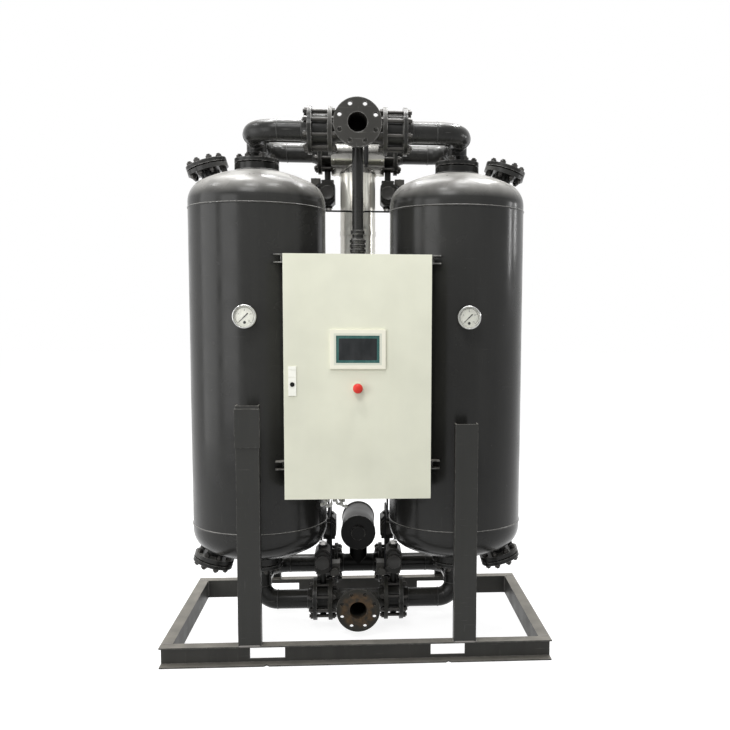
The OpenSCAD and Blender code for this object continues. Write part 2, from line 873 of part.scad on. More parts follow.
// exhaust tee between the valves with its riser to the silencer's stub
silencer_low = silencer_z - silencer_d / 2 - 12;
module exhaust_run(r, e) {
    along_x([-regen_in + flange_t - e, regen_y, exhaust_z], 2 * (regen_in - flange_t + e), r);
    along_z([0, regen_y, exhaust_z], silencer_low - exhaust_z + e, r);
}

module exhaust_pipe() {
    color(dark) difference() {
        union() {
            exhaust_run(pipe_r, 0);
            both_sides() translate([-regen_in, regen_y, exhaust_z]) rotate([0, 90, 0]) flange();
        }
        exhaust_run(bore_r, flange_t + 1);
        both_sides() translate([-regen_in, regen_y, exhaust_z]) rotate([0, 90, 0]) flange_holes();
    }
}

module silencer() {
    color(dark) difference() {
        union() {
            along_y([0, silencer_y, silencer_z], silencer_l, silencer_d / 2);
            for (y = [silencer_y, silencer_y + silencer_l - 16])
                along_y([0, y, silencer_z], 16, silencer_d / 2 + 4);
            along_y([0, silencer_y - 18, silencer_z], 20, 34);
            along_y([0, silencer_y + silencer_l - 2, silencer_z], 42, 44);
            along_z([0, regen_y, silencer_low], 40, pipe_r + 4);
        }
        along_y([0, silencer_y + 6, silencer_z], silencer_l - 12, silencer_d / 2 - 3);
        along_y([0, silencer_y + silencer_l - 20, silencer_z], 80, 40);
        along_z([0, regen_y, silencer_low - 1], 60, bore_r);
    }
}

// all studs and nuts
module side_studs() {
    translate([-check_out - flange_t, outlet_y, outlet_z]) rotate([0, 90, 0])
        studs(2 * flange_t + check_len + 2 * gasket_t);
    translate([-regen_out - flange_t, regen_y, outlet_z]) rotate([0, 90, 0])
        studs(2 * flange_t + wafer_len + 2 * gasket_t);
    translate([-regen_out - flange_t, regen_y, exhaust_z]) rotate([0, 90, 0])
        studs(2 * flange_t + wafer_len + 2 * gasket_t);
    translate([-inlet_out - flange_t, vessel_y, inlet_z]) rotate([0, 90, 0])
        studs(2 * flange_t + wafer_len + 2 * gasket_t);
    translate([-vessel_x, vessel_y, pad_high]) pad_studs(flange_t + gasket_t);
    translate([-vessel_x, vessel_y, pad_low]) rotate([180, 0, 0]) pad_studs(flange_t + gasket_t);
    at_fill_port() translate([0, 0, port_neck]) studs(2 * flange_t + gasket_t, port_circle);
    at_drain_port() translate([0, 0, port_neck]) studs(2 * flange_t + gasket_t, port_circle);
}

module flange_studs() {
    color(steel) {
        both_sides() side_studs();
        translate([0, regen_y, heater_low - 2 * flange_t - gasket_t]) studs(2 * flange_t + gasket_t);
    }
}

module side_gaskets() {
    for (x = [check_in + gasket_t, check_out])
        translate([-x, outlet_y, outlet_z]) rotate([0, 90, 0]) gasket();
    for (x = [regen_in + gasket_t, regen_out], z = [outlet_z, exhaust_z])
        translate([-x, regen_y, z]) rotate([0, 90, 0]) gasket();
    for (x = [inlet_in + gasket_t, inlet_out])
        translate([-x, vessel_y, inlet_z]) rotate([0, 90, 0]) gasket();
    translate([-vessel_x, vessel_y, pad_high]) gasket();
    translate([-vessel_x, vessel_y, pad_low - gasket_t]) gasket();
    at_fill_port() translate([0, 0, port_neck + flange_t]) gasket(port_face_r, port_r);
    at_drain_port() translate([0, 0, port_neck + flange_t]) gasket(port_face_r, port_r);
}

module flange_gaskets() {
    color(dark) {
        both_sides() side_gaskets();
        translate([0, regen_y, heater_low - flange_t - gasket_t]) gasket(face_r, heater_r - 4);
    }
}

// control cabinet
module cabinet_body() {
    color(cream) {
        difference() {
            union() {
                difference() {
                    box([-cab_x, body_y, cab_z], [cab_x, back_y, cab_z + cab_h]);
                    box([-cab_x + sheet_t, body_y - 1, cab_z + sheet_t],
                        [cab_x - sheet_t, back_y - sheet_t, cab_z + cab_h - sheet_t]);
                }
                box([-cab_x + 1, body_y, cab_z + 1], [-cab_x + 16, body_y + sheet_t, cab_z + cab_h - 1]);
                for (x = [-240, 240], z = [cab_z + 60, cab_z + cab_h - 60])
                    along_y([x, back_y - 14, z], 13, 7);
            }
            both_sides() along_z([-low_tube_x, low_tube_y, cab_z - 1], sheet_t + 2, 3 * tube_r);
        }
        for (z = hinge_z) {
            along_z([hinge_x, hinge_y, z], 4, 5);
            box([hinge_x - 5, hinge_y, z], [hinge_x + 3, body_y + 20, z + 4]);
            box([hinge_x + 1, body_y + 6, z], [cab_x - 1, body_y + 20, z + 4]);
            along_z([hinge_x, hinge_y, z + 2], hinge_h, pin_r);
        }
    }
}

module cabinet_door() {
    color(cream) difference() {
        union() {
            difference() {
                box([-cab_x, door_y, cab_z], [cab_x, door_y + door_t, cab_z + cab_h]);
                box([-cab_x + sheet_t, door_y + sheet_t, cab_z + sheet_t],
                    [cab_x - sheet_t, door_y + door_t + 1, cab_z + cab_h - sheet_t]);
            }
            for (z = hinge_z)
                box([hinge_x - 6, door_y + 1, z + 5], [hinge_x + 6.5, hinge_y + 5, z + hinge_h - 1]);
        }
        for (z = hinge_z) {
            along_z([hinge_x, hinge_y, z], 2 * hinge_h, pin_r + slack);
            box([cab_x - 4, door_y + sheet_t, z - 3], [cab_x + 1, door_y + door_t + 1, z + 5]);
        }
        box([-hmi_w / 2 + 12, door_y - 1, hmi_zc - hmi_h / 2 + 12],
            [hmi_w / 2 - 12, door_y + 10, hmi_zc + hmi_h / 2 - 12]);
        along_y([0, door_y - 1, estop_zc], 12, 11.2);
        along_y([lock_x, door_y - 1, lock_zc], 12, 9.3);
    }
}

plate_y = back_y - 16.5;
module mounting_plate() {
    color([0.8, 0.8, 0.78])
        box([-cab_x + 22, plate_y, cab_z + 30], [cab_x - 22, plate_y + 2.5, cab_z + cab_h - 30]);
}

// rails, ducts, controller, breakers, contactors and terminals on the mounting plate
module switchgear() {
    color([0.3, 0.32, 0.33]) {
        for (z = [200, 470, 740]) box([-240, plate_y - 8, cab_z + z], [240, plate_y, cab_z + z + 35]);
        for (z = [100, 350, 620, 880])
            box([-250, plate_y - 50, cab_z + z], [250, plate_y, cab_z + z + 40]);
        box([-200, plate_y - 70, cab_z + 705], [-20, plate_y - 8, cab_z + 805]);
        box([10, plate_y - 70, cab_z + 700], [70, plate_y - 8, cab_z + 820]);
        for (i = [0:5])
            box([-220 + 20 * i, plate_y - 65, cab_z + 445], [-202 + 20 * i, plate_y - 8, cab_z + 530]);
        for (i = [0:2])
            box([-40 + 60 * i, plate_y - 70, cab_z + 440], [8 + 60 * i, plate_y - 8, cab_z + 540]);
        for (i = [0:19])
            box([-210 + 20 * i, plate_y - 45, cab_z + 190], [-203 + 20 * i, plate_y - 8, cab_z + 245]);
    }
}

rail_h = 38;
rail_l = 712;
rail_d = 46;
module rail(z) {
    difference() {
        box([-rail_l / 2, back_y, z], [rail_l / 2, back_y + rail_d, z + rail_h]);
        box([-rail_l / 2 - 1, back_y - 1, z + 5], [rail_l / 2 + 1, back_y + rail_d - 5, z + rail_h - 5]);
        both_sides() along_z([-vessel_x, vessel_y, z - 1], rail_h + 2, vessel_r);
    }
}

module upper_rail() {
    color(paint) rail(cab_z + cab_h - 26);
}

module lower_rail() {
    color(paint) rail(cab_z + 86);
}

glass_w = hmi_w - 50;
glass_h = hmi_h - 48;
bezel_t = 8;
module hmi_bezel() {
    color(cream) difference() {
        union() {
            box([-hmi_w / 2, door_y - bezel_t, hmi_zc - hmi_h / 2],
                [hmi_w / 2, door_y, hmi_zc + hmi_h / 2]);
            box([-hmi_w / 2 + 14, door_y - 1, hmi_zc - hmi_h / 2 + 14],
                [hmi_w / 2 - 14, door_y + 50, hmi_zc + hmi_h / 2 - 14]);
        }
        box([-glass_w / 2, door_y - bezel_t - 1, hmi_zc - glass_h / 2],
            [glass_w / 2, door_y - 2, hmi_zc + glass_h / 2]);
    }
}

module hmi_screen() {
    color([0.16, 0.3, 0.3]) box([-glass_w / 2 + 0.3, door_y - 6, hmi_zc - glass_h / 2 + 0.3],
        [glass_w / 2 - 0.3, door_y - 2, hmi_zc + glass_h / 2 - 0.3]);
}

module estop_collar() {
    color([0.85, 0.8, 0.6]) difference() {
        union() {
            along_y([0, door_y - 6, estop_zc], 6, estop_d / 2 + 2);
            along_y([0, door_y - 1, estop_zc], 20, 11);
            along_y([0, door_y + sheet_t + 0.2, estop_zc], 28, 15);
        }
        along_y([0, door_y - 10, estop_zc], 32, 8 + slack);
    }
}

module estop_button() {
    color([0.85, 0.12, 0.1]) translate([0, door_y, estop_zc]) rotate([90, 0, 0]) rotate_extrude()
        polygon([[0, -14], [8, -14], [8, 11.5], [13, 11.5], [13, 20],
            [estop_d / 2, 22], [estop_d / 2, 31], [estop_d / 2 - 1.5, 34],
            [estop_d / 2 - 5, 36.5], [estop_d / 2 - 10, estop_out], [0, estop_out]]);
}

module lock_plate() {
    color([0.8, 0.8, 0.76]) difference() {
        box([lock_x - 16, door_y - 4, lock_zc - 46], [lock_x + 16, door_y, lock_zc + 74]);
        along_y([lock_x, door_y - 5, lock_zc], 10, 9.3);
        for (z = [28, 58])
            box([lock_x - 17, door_y - 5, lock_zc + z], [lock_x + 17, door_y - 2.5, lock_zc + z + 2]);
    }
}

module lock_cam() {
    color(dark) difference() {
        union() {
            along_y([lock_x, door_y - 7, lock_zc], door_t + 20, 9);
            box([lock_x - 8, body_y + 5, lock_zc - 28], [lock_x + 8, body_y + 9, lock_zc]);
        }
        box([lock_x - 1, door_y - 8, lock_zc - 5], [lock_x + 1, door_y - 2, lock_zc + 5]);
    }
}

// pressure gauge in its own frame: axis +Z towards the reader, back of the case at z = 0
gauge_r = gauge_d / 2;
gauge_t = 34;
dial_z = 23;
module at_gauge() {
    translate([-gauge_x, gauge_y + gauge_t, gauge_z]) rotate([90, 0, 0]) children();
}

module gauge_case() {
    difference() {
        union() {
            rotate_extrude() polygon([[0, 0], [gauge_r - 6, 0], [gauge_r - 3, 3], [gauge_r - 3, 22],
                [gauge_r, 24], [gauge_r, gauge_t - 2], [gauge_r - 2, gauge_t], [0, gauge_t]]);
            translate([0, 0, -30]) cylinder(h = 31, r = stem_r);
            translate([0, 0, -12]) cylinder(h = 12, r = 12.7, $fn = 6);
        }
        translate([0, 0, dial_z]) cylinder(h = gauge_t, r = gauge_r - 5);
        translate([0, 0, dial_z - 8]) cylinder(h = 20, r = 1.5 + slack);
    }
}

// pointer resting on zero, at the lower left as the reader sees it
module gauge_pointer() {
    translate([0, 0, dial_z + 1]) linear_extrude(height = 1.2) rotate(135) union() {
        polygon([[-2.2, -20], [2.2, -20], [0.7, gauge_r - 17], [-0.7, gauge_r - 17]]);
        circle(3);
    }
    translate([0, 0, dial_z - 6]) cylinder(h = 9, r = 1.5);
}

module gauge_lens() {
    translate([0, 0, gauge_t - 6]) cylinder(h = 3, r = gauge_r - 5.1);
}

module left_gauge() {
    color(steel) at_gauge() gauge_case();
}

module right_gauge() {
    color(steel) translate([2 * gauge_x, 0, 0]) at_gauge() gauge_case();
}

module left_gauge_pointer() {
    color(dark) at_gauge() gauge_pointer();
}

module right_gauge_pointer() {
    color(dark) translate([2 * gauge_x, 0, 0]) at_gauge() gauge_pointer();
}

module gauge_lenses() {
    color([0.8, 0.9, 0.9, 0.4]) {
        at_gauge() gauge_lens();
        translate([2 * gauge_x, 0, 0]) at_gauge() gauge_lens();
    }
}

// air tubes from the cabinet to the pilot valves of the actuators
tube_r = 4;
tube_b = 20;
tube_x = 16;
jog_x = 60;
top_tube_x = regen_x + act_w / 2 + 6;
top_tube_y = regen_y - tee_jacket_r - 14;
top_tube_z = outlet_z - act_gap - 28;
mid_tube_z = outlet_z - act_gap - act_h - 36;
cab_tube_z = cab_z + cab_h - 120;
low_tube_x = inlet_x - act_w / 2 - 6;
low_tube_y = back_y - 70;
low_tube_z = inlet_z + act_gap + 28;
low_tube_front = vessel_y - pilot_y - 30;
fore_tube_z = cab_z - 110;

// quarter bend in the XZ plane, from the angle a to a + 90 measured from +X towards +Z
module bend_xz(p, a) {
    translate(p) rotate([90, 0, 0]) bend([0, 0, 0], a, tube_b, tube_r);
}

// quarter bend in the YZ plane, from the angle a to a + 90 measured from +Y towards +Z
module bend_yz(p, a) {
    translate(p) rotate([90, 0, 90]) bend([0, 0, 0], a, tube_b, tube_r);
}

module upper_tube() {
    along_y([-top_tube_x, top_tube_y + tube_b, top_tube_z], regen_y - pilot_y - top_tube_y - tube_b, tube_r);
    bend_yz([-top_tube_x, top_tube_y + tube_b, top_tube_z - tube_b], 90);
    along_z([-top_tube_x, top_tube_y, mid_tube_z + tube_b], top_tube_z - mid_tube_z - 2 * tube_b, tube_r);
    bend_xz([-top_tube_x + tube_b, top_tube_y, mid_tube_z + tube_b], 180);
    along_x([-top_tube_x + tube_b, top_tube_y, mid_tube_z], top_tube_x - tube_x - 2 * tube_b, tube_r);
    bend_xz([-tube_x - tube_b, top_tube_y, mid_tube_z - tube_b], 0);
    along_z([-tube_x, top_tube_y, cab_tube_z + tube_b], mid_tube_z - cab_tube_z - 2 * tube_b, tube_r);
    bend_xz([-tube_x - tube_b, top_tube_y, cab_tube_z + tube_b], 270);
    along_x([-jog_x + tube_b, top_tube_y, cab_tube_z], jog_x - tube_x - 2 * tube_b, tube_r);
    bend([-jog_x + tube_b, top_tube_y - tube_b, cab_tube_z], 90, tube_b, tube_r);
    along_y([-jog_x, back_y, cab_tube_z], top_tube_y - tube_b - back_y, tube_r);
}

module lower_tube() {
    along_y([-low_tube_x, low_tube_front, low_tube_z], 30, tube_r);
    bend_yz([-low_tube_x, low_tube_front, low_tube_z + tube_b], 180);
    along_z([-low_tube_x, low_tube_front - tube_b, low_tube_z + tube_b],
        fore_tube_z - low_tube_z - 2 * tube_b, tube_r);
    bend_yz([-low_tube_x, low_tube_front - 2 * tube_b, fore_tube_z - tube_b], 0);
    along_y([-low_tube_x, low_tube_y + tube_b, fore_tube_z],
        low_tube_front - 3 * tube_b - low_tube_y, tube_r);
    bend_yz([-low_tube_x, low_tube_y + tube_b, fore_tube_z + tube_b], 180);
    along_z([-low_tube_x, low_tube_y, fore_tube_z + tube_b], cab_z - fore_tube_z, tube_r);
}

module pilot_tubes() {
    color([0.1, 0.1, 0.1]) both_sides() {
        upper_tube();
        lower_tube();
    }
}

front_beam();
rear_beam();
side_beams();
front_posts();
rear_posts();
left_vessel();
right_vessel();
desiccant_beds();
port_covers();
equalising_pipe();
cabinet_body();
cabinet_door();
mounting_plate();
switchgear();
upper_rail();
lower_rail();
hmi_bezel();
hmi_screen();
estop_collar();
estop_button();
lock_plate();
lock_cam();
left_gauge();
right_gauge();
left_gauge_pointer();
right_gauge_pointer();
gauge_lenses();
outlet_tee();
left_top_header();
right_top_header();
left_check_valve();
right_check_valve();
left_check_disc();
right_check_disc();
left_regen_valve();
right_regen_valve();
left_regen_disc();
right_regen_disc();
left_regen_actuator();
right_regen_actuator();
heater_tube();
heater_jacket();
heater_element();
purge_line();
temperature_probe();
inlet_tee();
left_bottom_header();
right_bottom_header();
left_inlet_valve();
right_inlet_valve();
left_inlet_disc();
right_inlet_disc();
left_inlet_actuator();
right_inlet_actuator();
exhaust_pipe();
exhaust_valves();
silencer();
flange_studs();
flange_gaskets();
pilot_tubes();
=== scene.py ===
"""Looks of a twin tower desiccant air dryer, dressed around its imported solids.

The solids carry every main shape. This script gives each of them its finish, adds the small pieces that
a maker adds last (weld beads, dial faces, screen glass, rivets, cap screws), and sets camera and light.
Lengths are metres in the part's own frame: +Z up, the cabinet door towards -Y.
"""
import math

import bmesh
import bpy
import numpy as np
from mathutils import Matrix, Vector


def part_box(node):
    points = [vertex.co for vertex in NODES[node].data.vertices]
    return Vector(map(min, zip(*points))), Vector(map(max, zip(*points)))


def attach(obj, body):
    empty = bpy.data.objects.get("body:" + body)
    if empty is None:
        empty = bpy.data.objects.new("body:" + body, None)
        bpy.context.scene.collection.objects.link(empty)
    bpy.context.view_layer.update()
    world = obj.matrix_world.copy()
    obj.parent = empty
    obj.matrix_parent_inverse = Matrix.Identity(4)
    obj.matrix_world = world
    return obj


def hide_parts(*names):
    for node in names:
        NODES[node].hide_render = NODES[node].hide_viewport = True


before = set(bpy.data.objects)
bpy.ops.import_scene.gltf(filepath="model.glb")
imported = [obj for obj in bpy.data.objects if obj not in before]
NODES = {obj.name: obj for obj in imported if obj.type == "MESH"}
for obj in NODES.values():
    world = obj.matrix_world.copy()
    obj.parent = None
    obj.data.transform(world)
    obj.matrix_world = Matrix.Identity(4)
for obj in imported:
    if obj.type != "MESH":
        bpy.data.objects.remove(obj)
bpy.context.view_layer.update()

# Sizes that the added pieces share with the solids
VESSEL_X = 0.456
VESSEL_Y = 0.030
VESSEL_R = 0.308
SEAM_LOW = 0.525
SEAM_HIGH = 1.956
CROWN_R = 0.557
APEX_HIGH = 2.135
APEX_LOW = 0.346
PIPE_R = 0.0445
PAD_R = 0.100
PAD_START = 0.875
BEND_R = 0.114
SHORT_R = 0.076
OUTLET_Z = 2.268
OUTLET_Y = -0.205
REGEN_Y = 0.330
INLET_Z = 0.135
EXHAUST_Z = 0.222
PORT_X = 0.207
PORT_R = 0.038
PORT_TILT = math.radians(17)
GAUGE_X = 0.473
GAUGE_Z = 1.475
DIAL_Y = -0.339
DIAL_R = 0.0448
DOOR_Y = -0.492
STOP_Z = 1.187
JACKET_R = 0.086
TEE_JACKET_R = 0.104


# Node tree helpers

def add(tree, kind, **values):
    """Adds a node and sets its properties or, for names with a capital, its input sockets."""
    node = tree.nodes.new(kind)
    for name, value in values.items():
        if name[0].isupper():
            node.inputs[name.replace("_", " ")].default_value = value
        else:
            setattr(node, name, value)
    return node


def math_node(tree, operation, first, second=None, clamp=False):
    """One arithmetic step; each operand is a socket or a plain number."""
    node = add(tree, "ShaderNodeMath", operation=operation, use_clamp=clamp)
    for index, operand in enumerate((first, second)):
        if operand is None:
            continue
        if isinstance(operand, (int, float)):
            node.inputs[index].default_value = operand
        else:
            tree.links.new(operand, node.inputs[index])
    return node.outputs[0]


def mix_colour(tree, factor, first, second):
    """Blends two colours; each is a socket or an (r, g, b) triple."""
    node = add(tree, "ShaderNodeMix", data_type="RGBA")
    for socket, operand in ((node.inputs[0], factor), (node.inputs[6], first), (node.inputs[7], second)):
        if isinstance(operand, tuple):
            socket.default_value = (*operand, 1.0)
        elif isinstance(operand, (int, float)):
            socket.default_value = operand
        else:
            tree.links.new(operand, socket)
    return node.outputs[2]


def remap(tree, value, low, high, out_low, out_high):
    """Carries the span low..high to out_low..out_high and holds it at both ends."""
    node = add(tree, "ShaderNodeMapRange", clamp=True)
    node.inputs[1].default_value = low
    node.inputs[2].default_value = high
    node.inputs[3].default_value = out_low
    node.inputs[4].default_value = out_high
    tree.links.new(value, node.inputs[0])
    return node.outputs[0]


def object_noise(tree, scale, detail=3.0, stretch=(1.0, 1.0, 1.0)):
    """Noise in the part's own frame; scale is in cycles per metre and may be a socket."""
    place = add(tree, "ShaderNodeTexCoord").outputs["Object"]
    if stretch != (1.0, 1.0, 1.0):
        mapping = add(tree, "ShaderNodeMapping")
        mapping.inputs["Scale"].default_value = stretch
        tree.links.new(place, mapping.inputs["Vector"])
        place = mapping.outputs[0]
    noise = add(tree, "ShaderNodeTexNoise", Detail=detail)
    tree.links.new(place, noise.inputs["Vector"])
    if isinstance(scale, (int, float)):
        noise.inputs["Scale"].default_value = scale
    else:
        tree.links.new(scale, noise.inputs["Scale"])
    return noise.outputs[0]


def object_xyz(tree):
    """The part's own coordinates, split into X, Y and Z."""
    split = add(tree, "ShaderNodeSeparateXYZ")
    tree.links.new(add(tree, "ShaderNodeTexCoord").outputs["Object"], split.inputs[0])
    return split.outputs


def diagonal(tree, first, second):
    """The length of the diagonal over two square legs."""
    squares = [math_node(tree, "MULTIPLY", leg, leg) for leg in (first, second)]
    return math_node(tree, "SQRT", math_node(tree, "ADD", *squares))


def effect(name, inputs, outputs):
    """Starts a shader node group with float inputs (name, default) and float outputs."""
    tree = bpy.data.node_groups.new(name, "ShaderNodeTree")
    for label, default in inputs:
        socket = tree.interface.new_socket(name=label, in_out="INPUT", socket_type="NodeSocketFloat")
        socket.default_value = default
    for label in outputs:
        tree.interface.new_socket(name=label, in_out="OUTPUT", socket_type="NodeSocketFloat")
    return tree, add(tree, "NodeGroupInput"), add(tree, "NodeGroupOutput")


def coat_grain_effect():
    """Sprayed coat: broad mottle as Tone, gloss patches as Gloss, orange peel as Height."""
    tree, given, out = effect("coat_grain", [("Mottle", 3.0), ("Peel", 300.0)], ["Tone", "Gloss", "Height"])
    tree.links.new(object_noise(tree, given.outputs["Mottle"], 5.0), out.inputs["Tone"])
    tree.links.new(object_noise(tree, 9.0, 6.0), out.inputs["Gloss"])
    tree.links.new(object_noise(tree, given.outputs["Peel"], 2.0), out.inputs["Height"])
    return tree


def edge_rub_and_highlight_effect():
    """Paint rubbed thin on edges, partly a painted edge highlight: how far the rounded normal leaves the flat one,
    broken up by noise.
    """
    tree, given, out = effect("edge_rub_and_highlight", [("Radius", 0.003), ("Breakup", 60.0)], ["Mask"])
    rounded = add(tree, "ShaderNodeBevel", samples=4)
    tree.links.new(given.outputs["Radius"], rounded.inputs["Radius"])
    flat = add(tree, "ShaderNodeNewGeometry").outputs["Normal"]
    dot = add(tree, "ShaderNodeVectorMath", operation="DOT_PRODUCT")
    tree.links.new(rounded.outputs[0], dot.inputs[0])
    tree.links.new(flat, dot.inputs[1])
    edge = remap(tree, dot.outputs["Value"], 0.995, 0.80, 0.0, 1.0)
    chips = remap(tree, object_noise(tree, given.outputs["Breakup"], 5.0), 0.35, 0.62, 0.0, 1.0)
    tree.links.new(math_node(tree, "MULTIPLY", edge, chips), out.inputs["Mask"])
    return tree


def dust_and_top_sheen_effect():
    """Dust that lies on upward faces, thicker in patches, and with it a painted sheen: upward faces lighter as if lit
    from above.
    """
    tree, given, out = effect("dust_and_top_sheen", [("Steepest", 0.35)], ["Mask"])
    normal = add(tree, "ShaderNodeSeparateXYZ")
    tree.links.new(add(tree, "ShaderNodeNewGeometry").outputs["Normal"], normal.inputs[0])
    level = math_node(tree, "SUBTRACT", normal.outputs["Z"], given.outputs["Steepest"])
    patches = remap(tree, object_noise(tree, 11.0, 6.0), 0.25, 0.75, 0.45, 1.0)
    tree.links.new(math_node(tree, "MULTIPLY", math_node(tree, "MULTIPLY", level, 1.5, True), patches),
                   out.inputs["Mask"])
    return tree


def wash_streak_effect():
    """Faint upright runs left by water and handling: noise drawn out along Z."""
    tree, given, out = effect("wash_streaks", [("Width", 16.0)], ["Mask"])
    streaks = object_noise(tree, given.outputs["Width"], 4.0, (1.0, 1.0, 0.06))
    tree.links.new(remap(tree, streaks, 0.42, 0.70, 0.0, 1.0), out.inputs["Mask"])
    return tree


def scuff_effect():
    """Short handling scratches: two fine noises drawn out in different directions, cut to their crests."""
    tree, given, out = effect("scuffs", [("Size", 70.0)], ["Mask"])
    along = remap(tree, object_noise(tree, given.outputs["Size"], 3.0, (0.12, 0.12, 1.6)), 0.66, 0.74, 0.0, 1.0)
    across = remap(tree, object_noise(tree, given.outputs["Size"], 3.0, (1.5, 1.5, 0.14)), 0.67, 0.75, 0.0, 1.0)
    tree.links.new(math_node(tree, "MAXIMUM", along, across), out.inputs["Mask"])
    return tree


GRAIN = coat_grain_effect()
RUB_AND_HIGHLIGHT = edge_rub_and_highlight_effect()
DUST_AND_SHEEN = dust_and_top_sheen_effect()
STREAKS = wash_streak_effect()
SCUFFS = scuff_effect()


def place_effect(tree, group, **values):
    """Places one of the shared effects in a material with its own values."""
    node = add(tree, "ShaderNodeGroup", node_tree=group)
    for name, value in values.items():
        node.inputs[name].default_value = value
    return node.outputs


def masked(tree, group, amount, **values):
    """The mask of a shared effect, scaled by an amount."""
    return math_node(tree, "MULTIPLY", place_effect(tree, group, **values)["Mask"], amount)


# Materials

TOWER_GREY = (0.0215, 0.0215, 0.0205)
# The beams wear the posts' coat painted lighter, offsetting the shade under their top flanges.
SKID_GREY_PAINTED_LIGHTER = (0.050, 0.049, 0.045)
POST_GREY = (0.028, 0.028, 0.026)
PIPE_GREY = (0.0150, 0.0150, 0.0140)
VALVE_GREY = (0.0110, 0.0110, 0.0100)
FLANGE_GREY = (0.030, 0.029, 0.026)
ACTUATOR_GREY = (0.013, 0.0125, 0.011)
PILOT_GREY = (0.055, 0.053, 0.048)
BARE_STEEL = (0.30, 0.29, 0.27)
PIPE_STEEL = (0.42, 0.41, 0.39)
CAST_STEEL = (0.36, 0.35, 0.33)
CREAM = (0.725, 0.730, 0.600)
DEVICE_GREY = (0.45, 0.46, 0.46)
PAINT_GLOSS = 0.20


def shade(colour, factor):
    """The same colour, darker or lighter."""
    return tuple(min(1.0, channel * factor) for channel in colour)


def start_material(name, **values):
    """A material with one Principled shader whose plain values are set on its own sockets."""
    material = bpy.data.materials.new(name)
    material.use_nodes = True
    tree = material.node_tree
    shader = tree.nodes["Principled BSDF"]
    for label, value in values.items():
        shader.inputs[label.replace("_", " ")].default_value = value
    return material, tree, shader


def set_surface(tree, shader, colour, rough):
    """Links a material's colour and roughness."""
    tree.links.new(colour, shader.inputs["Base Color"])
    tree.links.new(rough, shader.inputs["Roughness"])


def set_bump(tree, shader, height, strength, distance, rounded=0.0):
    """Feeds a height through a Bump node; a rounded value above zero softens sharp edges by that radius."""
    bump = add(tree, "ShaderNodeBump", Strength=strength, Distance=distance)
    tree.links.new(height, bump.inputs["Height"])
    if rounded > 0:
        corner = add(tree, "ShaderNodeBevel", samples=4)
        corner.inputs["Radius"].default_value = rounded
        tree.links.new(corner.outputs[0], bump.inputs["Normal"])
    tree.links.new(bump.outputs[0], shader.inputs["Normal"])


def pad_mask(tree):
    """One on the studded pads at both ends of each vessel: near its axis and beyond its heads."""
    place = object_xyz(tree)
    aside = math_node(tree, "SUBTRACT", math_node(tree, "ABSOLUTE", place["X"]), VESSEL_X)
    depth = math_node(tree, "SUBTRACT", place["Y"], VESSEL_Y)
    within = remap(tree, diagonal(tree, aside, depth), PAD_R + 0.0025, PAD_R + 0.0015, 0.0, 1.0)
    above = math_node(tree, "SUBTRACT", place["Z"], (APEX_HIGH + APEX_LOW) / 2)
    beyond = remap(tree, math_node(tree, "ABSOLUTE", above), PAD_START - 0.001, PAD_START + 0.001, 0.0, 1.0)
    return math_node(tree, "MULTIPLY", within, beyond)


def coated_steel(name, colour, bare_and_highlight, rough, dust_and_sheen=0.3, dust_and_sheen_colour=(0.36, 0.34, 0.30), rub_and_highlight_radius=0.003, rub_and_highlight_amount=0.7,
                 streak=0.25, scuff=0.15, peel=300.0, peel_depth=0.00015, rounded=0.0015, specular=PAINT_GLOSS,
                 fitted=None, pads=None, steepest=0.35):
    """Painted steel: mottled coat, runs, scuffs, dust with a painted sheen on top, and edges rubbed towards the bare
    colour, partly as painted edge highlights.

    Fitted gives (near, far, colour): beyond the span near..far from the middle plane the coat takes that colour.
    Pads gives the colour of the vessels' studded pads. Steepest is the upward lean at which dust and the painted top
    sheen begin."""
    material, tree, shader = start_material(name, Specular_IOR_Level=specular)
    grain = place_effect(tree, GRAIN, Peel=peel)
    coat = mix_colour(tree, grain["Tone"], shade(colour, 0.80), shade(colour, 1.22))
    if fitted:
        near, far, fitted_colour = fitted
        aside = remap(tree, math_node(tree, "ABSOLUTE", object_xyz(tree)["X"]), near, far, 0.0, 1.0)
        coat = mix_colour(tree, aside, coat, fitted_colour)
    if pads:
        coat = mix_colour(tree, pad_mask(tree), coat, pads)
    coat = mix_colour(tree, masked(tree, STREAKS, streak), coat, shade(colour, 1.7))
    coat = mix_colour(tree, masked(tree, SCUFFS, scuff), coat, bare_and_highlight)
    # Upward faces go lighter: settled dust, and a painted sheen standing in for light from above.
    film = masked(tree, DUST_AND_SHEEN, dust_and_sheen, Steepest=steepest)
    coat = mix_colour(tree, film, coat, dust_and_sheen_colour)
    # Edges go towards the bare colour: rubbed paint, and a painted edge highlight.
    coat = mix_colour(tree, masked(tree, RUB_AND_HIGHLIGHT, rub_and_highlight_amount, Radius=rub_and_highlight_radius), coat, bare_and_highlight)
    gloss = remap(tree, grain["Gloss"], 0.3, 0.7, rough - 0.06, rough + 0.08)
    gloss = math_node(tree, "ADD", gloss, math_node(tree, "MULTIPLY", film, 0.25), True)
    set_surface(tree, shader, coat, gloss)
    set_bump(tree, shader, grain["Height"], 0.35, peel_depth, rounded)
    return material


def rolled_metal(name, colour, rough, grain_stretch=(1.0, 1.0, 1.0), tarnish=0.12):
    """Bare rolled or machined metal: fine drawn grain, dull patches and soft edges."""
    material, tree, shader = start_material(name, Metallic=1.0)
    lines = object_noise(tree, 90.0, 4.0, grain_stretch)
    patches = object_noise(tree, 6.0, 5.0)
    tint = mix_colour(tree, lines, shade(colour, 0.88), shade(colour, 1.08))
    tint = mix_colour(tree, remap(tree, patches, 0.45, 0.75, 0.0, tarnish), tint, shade(colour, 0.45))
    set_surface(tree, shader, tint, remap(tree, patches, 0.3, 0.7, rough - 0.05, rough + 0.09))
    set_bump(tree, shader, lines, 0.12, 0.0002, 0.001)
    return material


